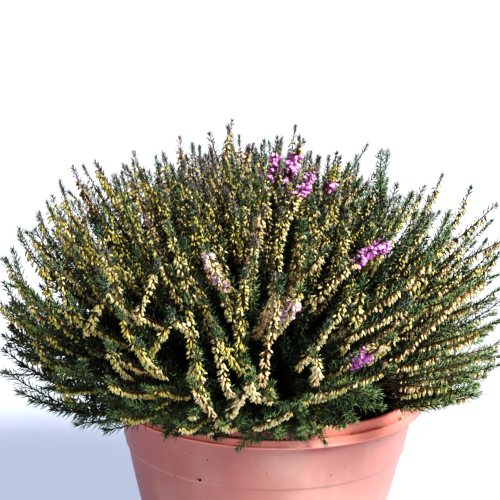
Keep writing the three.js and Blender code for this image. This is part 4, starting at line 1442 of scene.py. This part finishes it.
def pot_profile():
    """Radius and height round one half of the pot's section, from its foot to its floor inside."""
    mm = 0.001
    foot = [(0.0, 0.0), (wall_radius(0) - FOOT_ROUND, 0.0)]
    foot += arc((wall_radius(FOOT_ROUND) - FOOT_ROUND, FOOT_ROUND), FOOT_ROUND, -75, -8, 6)
    low, high = SHOULDER_Z - 2 * mm, SHOULDER_Z + 1.4 * mm
    wall = [(wall_radius(z), z) for z in np.linspace(FOOT_ROUND + 2 * mm, low, 22)]
    eased = [(t, t * t * (3 - 2 * t)) for t in np.linspace(0, 1, 7)[1:-1]]
    reach = wall_radius(high) - wall_radius(low)
    step = [(wall_radius(low) + reach * ease, low + (high - low) * t) for t, ease in eased]
    neck = [(wall_radius(z), z) for z in np.linspace(high, FLANGE_FOOT_Z - 0.8 * mm, 5)]
    under = [
        (NECK_RADIUS + 0.7 * mm, FLANGE_FOOT_Z + 0.1 * mm),
        (RIM_RADIUS - 2 * mm, FLANGE_FOOT_Z - 0.2 * mm),
    ]
    lip = arc((RIM_RADIUS - 1.1 * mm, FLANGE_FOOT_Z + 0.9 * mm), 1.1 * mm, -90, 60, 7)
    face = [
        (RIM_RADIUS - 0.8 * mm, FLANGE_FOOT_Z + 2.4 * mm),
        (RIM_RADIUS - 1.0 * mm, LEDGE_Z - 1.2 * mm),
    ]
    ledge = arc((RIM_RADIUS - 1.7 * mm, LEDGE_Z - 0.7 * mm), 0.7 * mm, 10, 90, 4)
    groove = [(COLLAR_RADIUS + 0.55 * mm, LEDGE_Z - 0.35 * mm), (COLLAR_RADIUS, LEDGE_Z + 0.1 * mm)]
    collar = [(COLLAR_RADIUS + 0.15 * mm, LEDGE_Z + 3.5 * mm)]
    inner = COLLAR_RADIUS - LIP_THICKNESS
    top = arc((COLLAR_RADIUS - 1.1 * mm, POT_HEIGHT - 1.1 * mm), 1.1 * mm, 0, 90, 5)
    top += arc((inner + 1.1 * mm, POT_HEIGHT - 1.1 * mm), 1.1 * mm, 100, 175, 4)
    heights = np.linspace(SOIL_EDGE_Z + 4 * mm, FLOOR_THICKNESS + FOOT_ROUND, 10)
    liner = [(wall_radius(z) - WALL_THICKNESS, z) for z in heights]
    floor_radius = wall_radius(FLOOR_THICKNESS) - WALL_THICKNESS - FOOT_ROUND
    floor = [(floor_radius, FLOOR_THICKNESS), (0.0, FLOOR_THICKNESS)]
    return foot + wall + step + neck + under + lip + face + ledge + groove + collar + top + liner + floor


def from_bmesh(name, mesh):
    """An object made of a bmesh, which is freed."""
    data = bpy.data.meshes.new(name)
    mesh.to_mesh(data)
    mesh.free()
    return link(bpy.data.objects.new(name, data))


def lathe(name, profile, segments):
    """A turned body whose profile starts and ends on the axis."""
    mesh = bmesh.new()
    rings = []
    for radius, z in profile:
        if radius == 0:
            rings.append([mesh.verts.new((0, 0, z))])
            continue
        turns = [2 * math.pi * i / segments for i in range(segments)]
        rings.append([mesh.verts.new((radius * math.cos(t), radius * math.sin(t), z)) for t in turns])
    for low, high in zip(rings, rings[1:]):
        for i in range(segments):
            after = (i + 1) % segments
            quad = [low[i % len(low)], low[after % len(low)], high[after % len(high)], high[i % len(high)]]
            mesh.faces.new(list(dict.fromkeys(quad)))
    bmesh.ops.recalc_face_normals(mesh, faces=mesh.faces)
    return from_bmesh(name, mesh)


def drain_cutter():
    """Holes and channels of the underside, as one body of separate blocks."""
    mesh = bmesh.new()
    reach = wall_radius(0) + 0.01 - DRAIN_CIRCLE
    for i in range(DRAIN_COUNT):
        turn = math.radians((i + 0.5) * 360 / DRAIN_COUNT)
        facing = Vector((math.cos(turn), math.sin(turn), 0))
        hole = bmesh.ops.create_cone(
            mesh, cap_ends=True, segments=24, radius1=DRAIN_RADIUS, radius2=DRAIN_RADIUS, depth=0.03
        )
        bmesh.ops.translate(mesh, verts=hole["verts"], vec=facing * DRAIN_CIRCLE)
        block = bmesh.ops.create_cube(mesh, size=1)["verts"]
        bmesh.ops.scale(mesh, verts=block, vec=(reach, CHANNEL_WIDTH, CHANNEL_DEPTH * 2))
        bmesh.ops.translate(mesh, verts=block, vec=(DRAIN_CIRCLE + reach / 2, 0, 0))
        for vert in block:
            x, y = vert.co.x, vert.co.y
            vert.co.x = x * facing.x - y * facing.y
            vert.co.y = x * facing.y + y * facing.x
    return from_bmesh("drain_cutter", mesh)


def cut(piece, tool):
    """Takes the tool's shape out of a piece and removes the tool."""
    modifier = piece.modifiers.new("cut", "BOOLEAN")
    modifier.operation = "DIFFERENCE"
    modifier.solver = "EXACT"
    modifier.use_self = True
    modifier.object = tool
    graph = bpy.context.evaluated_depsgraph_get()
    shaped = bpy.data.meshes.new_from_object(piece.evaluated_get(graph))
    piece.modifiers.clear()
    piece.data = shaped
    bpy.data.objects.remove(tool)


def smooth_by_angle(piece, degrees=32):
    piece.data.polygons.foreach_set("use_smooth", [True] * len(piece.data.polygons))
    piece.data.set_sharp_from_angle(angle=math.radians(degrees))


def pot_finish(pot):
    finish = Finish("terracotta_plastic", roughness=0.45, specular=0.4)
    clouds = finish.noise(14, 4)
    streaks = finish.noise(60, 3, stretch=(1, 1, 0.12))
    # Above the flange the plastic turns deeper in colour and lighter: partly its own colour, partly painted
    # light over the shoots' shade
    rim = finish.height().smooth(FLANGE_FOOT_Z - 0.002, FLANGE_FOOT_Z)
    plastic = finish.mix(rim, pot.plastic, pot.rim)
    dust = clouds.smooth(0.42, 0.8) * 0.3 + streaks.smooth(0.5, 0.9) * 0.12
    dusty = finish.mix(dust, plastic, pot.dust)
    patches = finish.noise(35, 2).smooth(0.52, 0.62)
    specks = (1 - finish.cells(150).smooth(0.05, 0.11)) * patches
    bare = finish.noise(22, 2).smooth(0.42, 0.5)
    grains = (1 - finish.cells(420).smooth(0.05, 0.13)) * (1 - bare) * 0.6
    finish.colour(finish.mix(specks + grains, dusty, pot.dirt))
    finish.roughness(clouds * 0.22 + specks * 0.3 + 0.33)
    fine = finish.noise(1800, 2)
    finish.bump(fine * 0.4 + clouds * 0.6 + specks * 2, 0.12, 0.0006)
    return finish.material


def soil_finish(pot):
    finish = Finish("compost", roughness=0.95, specular=0.2)
    grains = finish.noise(420, 6, roughness=0.7)
    fibres = finish.noise(160, 4, stretch=(1, 0.3, 1))
    dark = finish.mix(grains.smooth(0.3, 0.7), SOAKED_COMPOST, pot.compost)
    finish.colour(finish.mix(fibres.smooth(0.62, 0.75) * 0.5, dark, pot.fibre))
    finish.bump(grains, 0.9, 0.002)
    return finish.material


def twig_finish(pot):
    finish = Finish("dry_wood", roughness=0.85, specular=0.25)
    grain = finish.noise(500, 5, stretch=(1, 1, 0.12))
    # Pale bleached wood, lightened further as painted light where the twig stands in shade
    pale = finish.mix(grain.smooth(0.3, 0.7), pot.wood, pot.bleached_and_lit_wood)
    finish.colour(finish.mix(finish.noise(90, 3).smooth(0.5, 0.75) * 0.6, pale, pot.stained_wood))
    finish.bump(grain, 0.8, 0.0006)
    return finish.material


def speck_finish(pot):
    finish = Finish("wall_speck", roughness=0.9, specular=0.2)
    grains = finish.noise(900, 3)
    finish.colour(finish.mix(grains.smooth(0.35, 0.7), pot.dirt, pot.compost))
    finish.bump(grains, 0.6, 0.0003)
    return finish.material


def wall_depth(points):
    """How far outside the pot's wall points lie."""
    return np.hypot(points[:, 0], points[:, 1]) - np.array([wall_radius(z) for z in points[:, 2]])


# Operators


class HEATH_OT_pot(bpy.types.Operator):
    """Turn the bowl pot and cut its drain holes and channels"""

    bl_idname = "heath.pot"
    bl_label = "Bowl pot"

    def execute(self, context):
        pot = context.scene.heath_pot
        piece = lathe("bowl_pot", pot_profile(), pot.segments)
        cut(piece, drain_cutter())
        smooth_by_angle(piece)
        piece.data.materials.append(pot_finish(pot))
        settle(piece, "pot_plastic", "pot")
        return {"FINISHED"}


class HEATH_OT_compost(bpy.types.Operator):
    """Fill the pot with compost and scatter loose crumbs on it"""

    bl_idname = "heath.compost"
    bl_label = "Compost"

    def execute(self, context):
        pot = context.scene.heath_pot
        rng = np.random.default_rng(SOIL_SEED)
        fill = self.fill_pot(rng)
        crumbs = self.scatter_crumbs(pot.crumbs, rng)
        material = soil_finish(pot)
        for part in (fill, crumbs):
            part.data.materials.append(material)
        settle(fill, "compost", "soil")
        settle(crumbs, "compost")
        return {"FINISHED"}

    def fill_pot(self, rng):
        """The body of compost, with a crown and an uneven surface."""
        edge = soil_radius(SOIL_EDGE_Z)
        crown = SOIL_CROWN_Z - 0.002
        fall = SOIL_CROWN_Z - SOIL_EDGE_Z - 0.001
        top = [(edge * r, crown - fall * r**2) for r in np.linspace(0, 1, 34)[:0:-1]]
        side = [(soil_radius(z), z) for z in np.linspace(0.012, SOIL_EDGE_Z - 0.003, 8)]
        foot = SOIL_FOOT_Z + SOIL_GAP
        profile = [(0.0, foot), (side[0][0] - 0.004, foot)] + side + top + [(0.0, crown)]
        piece = lathe("compost_fill", profile, 120)
        points = np.empty(len(piece.data.vertices) * 3, np.float32)
        piece.data.vertices.foreach_get("co", points)
        points = points.reshape(-1, 3)
        surface = points[:, 2] > SOIL_EDGE_Z - 0.002
        waves = 0
        for k in range(5):
            ripple = np.sin(points @ rng.normal(0, 160 * 2**k, 3) + rng.uniform(0, 6))
            waves = waves + ripple * 0.0009 / 1.6**k
        points[surface, 2] += np.clip(waves[surface] - 0.0006, -0.003, 0.0018)
        piece.data.vertices.foreach_set("co", points.ravel())
        smooth_by_angle(piece, 60)
        return piece

    def scatter_crumbs(self, count, rng):
        """Loose lumps on the surface."""
        turns = rng.uniform(0, 2 * math.pi, count)
        radii = soil_radius(SOIL_EDGE_Z) * np.sqrt(rng.uniform(0, 0.93, count))
        lying = np.full(count, SOIL_EDGE_Z - 0.0012)
        roots = np.stack([radii * np.cos(turns), radii * np.sin(turns), lying], 1)
        ahead = unit(rng.normal(0, 1, (count, 3)) * [1, 1, 0.4] + UP * 0.6)
        across = unit(np.cross(ahead, rng.normal(0, 1, (count, 3))))
        sizes = rng.uniform(0.0016, 0.0038, count)
        axes = across, np.cross(ahead, across), ahead
        lump = spindle([(0.2, 0.42, 0.42), (0.55, 0.5, 0.4), (0.85, 0.3, 0.34)], 6)
        stock = Stock()
        stock.scatter(lump, roots, axes, sizes, sizes * 1.1, ONE_FINISH, rng.uniform(0, 1, count), sizes)
        return stock.build("compost_crumbs", [])


class HEATH_OT_twig(bpy.types.Operator):
    """Stand the dry twig in the compost"""

    bl_idname = "heath.twig"
    bl_label = "Dry twig"

    def execute(self, context):
        foot = np.array([*TWIG_FOOT, SOIL_CROWN_Z])
        top = np.array(TWIG_TOP)
        rows = [(foot - UP * 0.02, 1.0), (foot + UP * 0.001, 1.0)]
        for part, bow, width in TWIG_STATIONS:
            rows.append((foot + (top - foot) * part + [bow, 0, 0], width))
        path = Path([row[0] for row in rows])
        distances = np.linspace(0, path.total, 40)
        widths = np.interp(distances, path.lengths, [row[1] for row in rows])
        rng = np.random.default_rng(TWIG_SEED)
        radii = TWIG_RADIUS * widths * rng.uniform(0.9, 1.02, len(distances))
        stock = Stock()
        stock.tube(path.at(distances), radii, 10, ONE_FINISH, 0.5, 1.0)
        for at, reach, turn in TWIG_SNAGS:
            root = path.at(np.array([path.total * at]))[0]
            points = np.array([root, root + on_circle(0.9, turn, 0.45) * reach])
            stock.tube(points, [0.0006, 0.0003], 6, ONE_FINISH, 0.5, 1.0)
        piece = stock.build("dry_twig_wood", [twig_finish(context.scene.heath_pot)])
        settle(piece, "dry_wood", "dry_twig")
        return {"FINISHED"}


class HEATH_OT_sprays(bpy.types.Operator):
    """Grow the sprays that have a node of their own"""

    bl_idname = "heath.sprays"
    bl_label = "Sprays"

    def execute(self, context):
        scene = context.scene
        foliage, flowers = scene.heath_foliage, scene.heath_flowers
        materials = plant_finishes(scene)
        slots = {"bud": "bud_cream", "peach": "bud_peach", "pink": "bloom_pink", "pale": "bloom_pale"}
        for spray in grow_plan(foliage, scene.heath_stage).sprays:
            stock = Stock()
            dress_shoot(stock, spray, spray.parts_at, spray.path.total, foliage, flowers)
            settle(stock.build(f"{spray.name}_dressed", materials), slots[spray.kind], spray.name)
        return {"FINISHED"}


class HEATH_OT_branches(bpy.types.Operator):
    """Grow the woody branches with all their shoots"""

    bl_idname = "heath.branches"
    bl_label = "Branches"

    def execute(self, context):
        scene = context.scene
        foliage, flowers = scene.heath_foliage, scene.heath_flowers
        materials = plant_finishes(scene)
        for branch in grow_plan(foliage, scene.heath_stage).branches:
            stock = Stock()
            dress_branch(stock, branch)
            for shoot in branch.shoots:
                dress_shoot(stock, shoot, 0.0, shoot.parts_at, foliage, flowers)
            settle(stock.build(f"{branch.name}_dressed", materials), "foliage", branch.name)
        return {"FINISHED"}


class HEATH_OT_litter(bpy.types.Operator):
    """Stick specks of compost to the wall and drop needles and buds on the ledge of the rim"""

    bl_idname = "heath.litter"
    bl_label = "Specks and fallen needles"

    def execute(self, context):
        scene = context.scene
        pot = scene.heath_pot
        rng = np.random.default_rng(LITTER_SEED)
        spots = [(seen_at(scene.heath_stage, pixel, wall_depth, 0), width) for pixel, width in WALL_SPECKS]
        for _ in range(pot.specks):
            z = rng.uniform(0.006, SHOULDER_Z + 0.03)
            spots.append((on_circle(wall_radius(z), rng.uniform(-20, 200), z), rng.uniform(0.5, 1.2)))
        roots = np.array([spot[0] for spot in spots])
        widths = np.array([spot[1] for spot in spots]) * 0.001
        outward = unit(roots * [1, 1, 0])
        level = np.cross(UP, outward)
        axes = level, np.cross(outward, level), outward
        lump = spindle([(0.2, 0.5, 0.36), (0.6, 0.38, 0.28)], 7)
        stock = Stock()
        stock.scatter(lump, roots - outward * 0.0002, axes, widths, widths * 0.6, ONE_FINISH, 0.5, 0.5)
        settle(stock.build("wall_specks", [speck_finish(pot)]), "compost")
        self.drop_needles(scene, rng)
        return {"FINISHED"}

    def drop_needles(self, scene, rng):
        """Needles and a few buds that lie along the ledge between collar and flange."""
        foliage, flowers = scene.heath_foliage, scene.heath_flowers
        azimuths = np.concatenate([LEDGE_NEEDLES, rng.uniform(-30, 200, 16)])
        middle = (COLLAR_RADIUS + RIM_RADIUS) / 2
        lying = LEDGE_Z + 0.0005
        roots = np.array([on_circle(middle + rng.uniform(-0.0006, 0.0006), a, lying) for a in azimuths])
        ahead = np.array([on_circle(1, a + 90 + rng.uniform(-14, 14), 0.04) for a in azimuths])
        across = unit(np.cross(ahead, UP))
        axes = across, np.cross(ahead, across), ahead
        bud = np.arange(len(azimuths)) % 4 == 0
        stock = Stock()
        for chosen, form, width, size, part in (
            (~bud, NEEDLES[FINE], foliage.needle_width, foliage.needle_length * 0.8, LEAF),
            (bud, CLOSED_BUDS[FINE], flowers.bud_width, flowers.bud_length, BUDS),
        ):
            stock.scatter(form, roots + UP * width * 0.4, axes, width, size, part, 0.8, 0.3, only=chosen)
        settle(stock.build("fallen_needles", plant_finishes(scene)), "foliage")


class HEATH_OT_stage(bpy.types.Operator):
    """Set the floor, the lights and the camera"""

    bl_idname = "heath.stage"
    bl_label = "Stage"

    def execute(self, context):
        stage = context.scene.heath_stage
        self.add_floor(stage)
        self.add_backdrop()
        self.add_sky(context, stage)
        self.add_lamp("large_lamp", stage.key, stage.key_size, stage.key_turn, stage.key_height)
        self.add_camera(context, stage)
        view = context.scene.view_settings
        view.view_transform = "Standard"
        view.gamma = stage.contrast
        view.use_curve_mapping = True
        for place, level in TONE_CURVE:
            view.curve_mapping.curves[3].points.new(place, level)
        view.curve_mapping.update()
        return {"FINISHED"}

    def add_floor(self, stage):
        """A pale floor that also gives light of its own."""
        finish = Finish("stage_floor", roughness=0.9, specular=0.1)
        finish.glow(stage.glow)
        finish.colour(stage.floor)
        half = FLOOR_HALF_WIDTH
        corners = [(-half, -half, 0), (half, -half, 0), (half, half, 0), (-half, half, 0)]
        self.stage_piece("stage_floor", corners, [(0, 1, 2, 3)], finish)

    def add_backdrop(self):
        """A low white wall all round, far off, so that every side is seen against white."""
        finish = Finish("stage_backdrop", roughness=0.9, specular=0.0)
        finish.colour((0.0, 0.0, 0.0))
        finish.glow((1.0, 1.0, 1.0))
        turns = np.arange(0, 360, 5)
        count = len(turns)
        points = [on_circle(BACKDROP_RADIUS, turn, z) for z in (0.0, BACKDROP_HEIGHT) for turn in turns]
        faces = [(i, (i + 1) % count, count + (i + 1) % count, count + i) for i in range(count)]
        wall = self.stage_piece("stage_backdrop", points, faces, finish)
        wall.visible_shadow = False

    def stage_piece(self, name, points, faces, finish):
        mesh = bpy.data.meshes.new(name)
        mesh.from_pydata(points, [], faces)
        mesh.materials.append(finish.material)
        return link(bpy.data.objects.new(name, mesh))

    def add_sky(self, context, stage):
        """Faint light from all round."""
        world = bpy.data.worlds.new("soft_light")
        world.use_nodes = True
        background = world.node_tree.nodes["Background"]
        background.inputs["Color"].default_value = (*SKY_COLOUR, 1.0)
        background.inputs["Strength"].default_value = stage.fill
        context.scene.world = world

    def add_lamp(self, name, strength, size, turn, height):
        """A lamp as wide in the sky as its size, turned to the right of the camera."""
        lamp = bpy.data.lights.new(name, "SUN")
        lamp.energy = strength
        lamp.angle = size
        lamp.color = LAMP_COLOUR
        seat = link(bpy.data.objects.new(name, lamp))
        level = math.cos(height)
        towards = Vector((math.sin(turn) * level, -math.cos(turn) * level, math.sin(height)))
        seat.location = towards * 2
        seat.rotation_euler = towards.to_track_quat("Z", "Y").to_euler()

    def add_camera(self, context, stage):
        """The camera, which looks at the plant as the photograph does."""
        camera = bpy.data.cameras.new("camera")
        camera.sensor_width = 36.0
        camera.sensor_fit = "HORIZONTAL"
        camera.lens = camera.sensor_width * stage.distance / stage.frame_width
        seat = link(bpy.data.objects.new("camera", camera))
        place, across, above, away = camera_frame(stage)
        seat.matrix_world = Matrix(np.stack([across, above, away], 1)).to_4x4()
        seat.location = Vector(place)
        context.scene.camera = seat


class HEATH_PT_panel(bpy.types.Panel):
    """The pieces of the heath, in the order they are made"""

    bl_idname = "HEATH_PT_panel"
    bl_label = "Winter heath"
    bl_space_type = "VIEW_3D"
    bl_region_type = "UI"
    bl_category = "Heath"

    def draw(self, context):
        scene = context.scene
        for settings in (scene.heath_pot, scene.heath_foliage, scene.heath_flowers, scene.heath_stage):
            box = self.layout.box()
            for name in settings.__annotations__:
                box.prop(settings, name)
        for operator in OPERATORS:
            self.layout.operator(operator.bl_idname)


OPERATORS = (
    HEATH_OT_pot,
    HEATH_OT_compost,
    HEATH_OT_twig,
    HEATH_OT_sprays,
    HEATH_OT_branches,
    HEATH_OT_litter,
    HEATH_OT_stage,
)
GROUPS = {
    "heath_pot": HeathPotSettings,
    "heath_foliage": HeathFoliageSettings,
    "heath_flowers": HeathFlowerSettings,
    "heath_stage": HeathStageSettings,
}


def register():
    for group in GROUPS.values():
        bpy.utils.register_class(group)
    for name, group in GROUPS.items():
        setattr(bpy.types.Scene, name, PointerProperty(type=group))
    for operator in OPERATORS:
        bpy.utils.register_class(operator)
    bpy.utils.register_class(HEATH_PT_panel)


def unregister():
    bpy.utils.unregister_class(HEATH_PT_panel)
    for operator in reversed(OPERATORS):
        bpy.utils.unregister_class(operator)
    for name in GROUPS:
        delattr(bpy.types.Scene, name)
    for group in reversed(GROUPS.values()):
        bpy.utils.unregister_class(group)


def main():
    register()
    bpy.ops.heath.pot()
    bpy.ops.heath.compost()
    bpy.ops.heath.twig()
    bpy.ops.heath.sprays()
    bpy.ops.heath.branches()
    bpy.ops.heath.litter()
    bpy.ops.heath.stage()


if __name__ == "__main__":
    main()
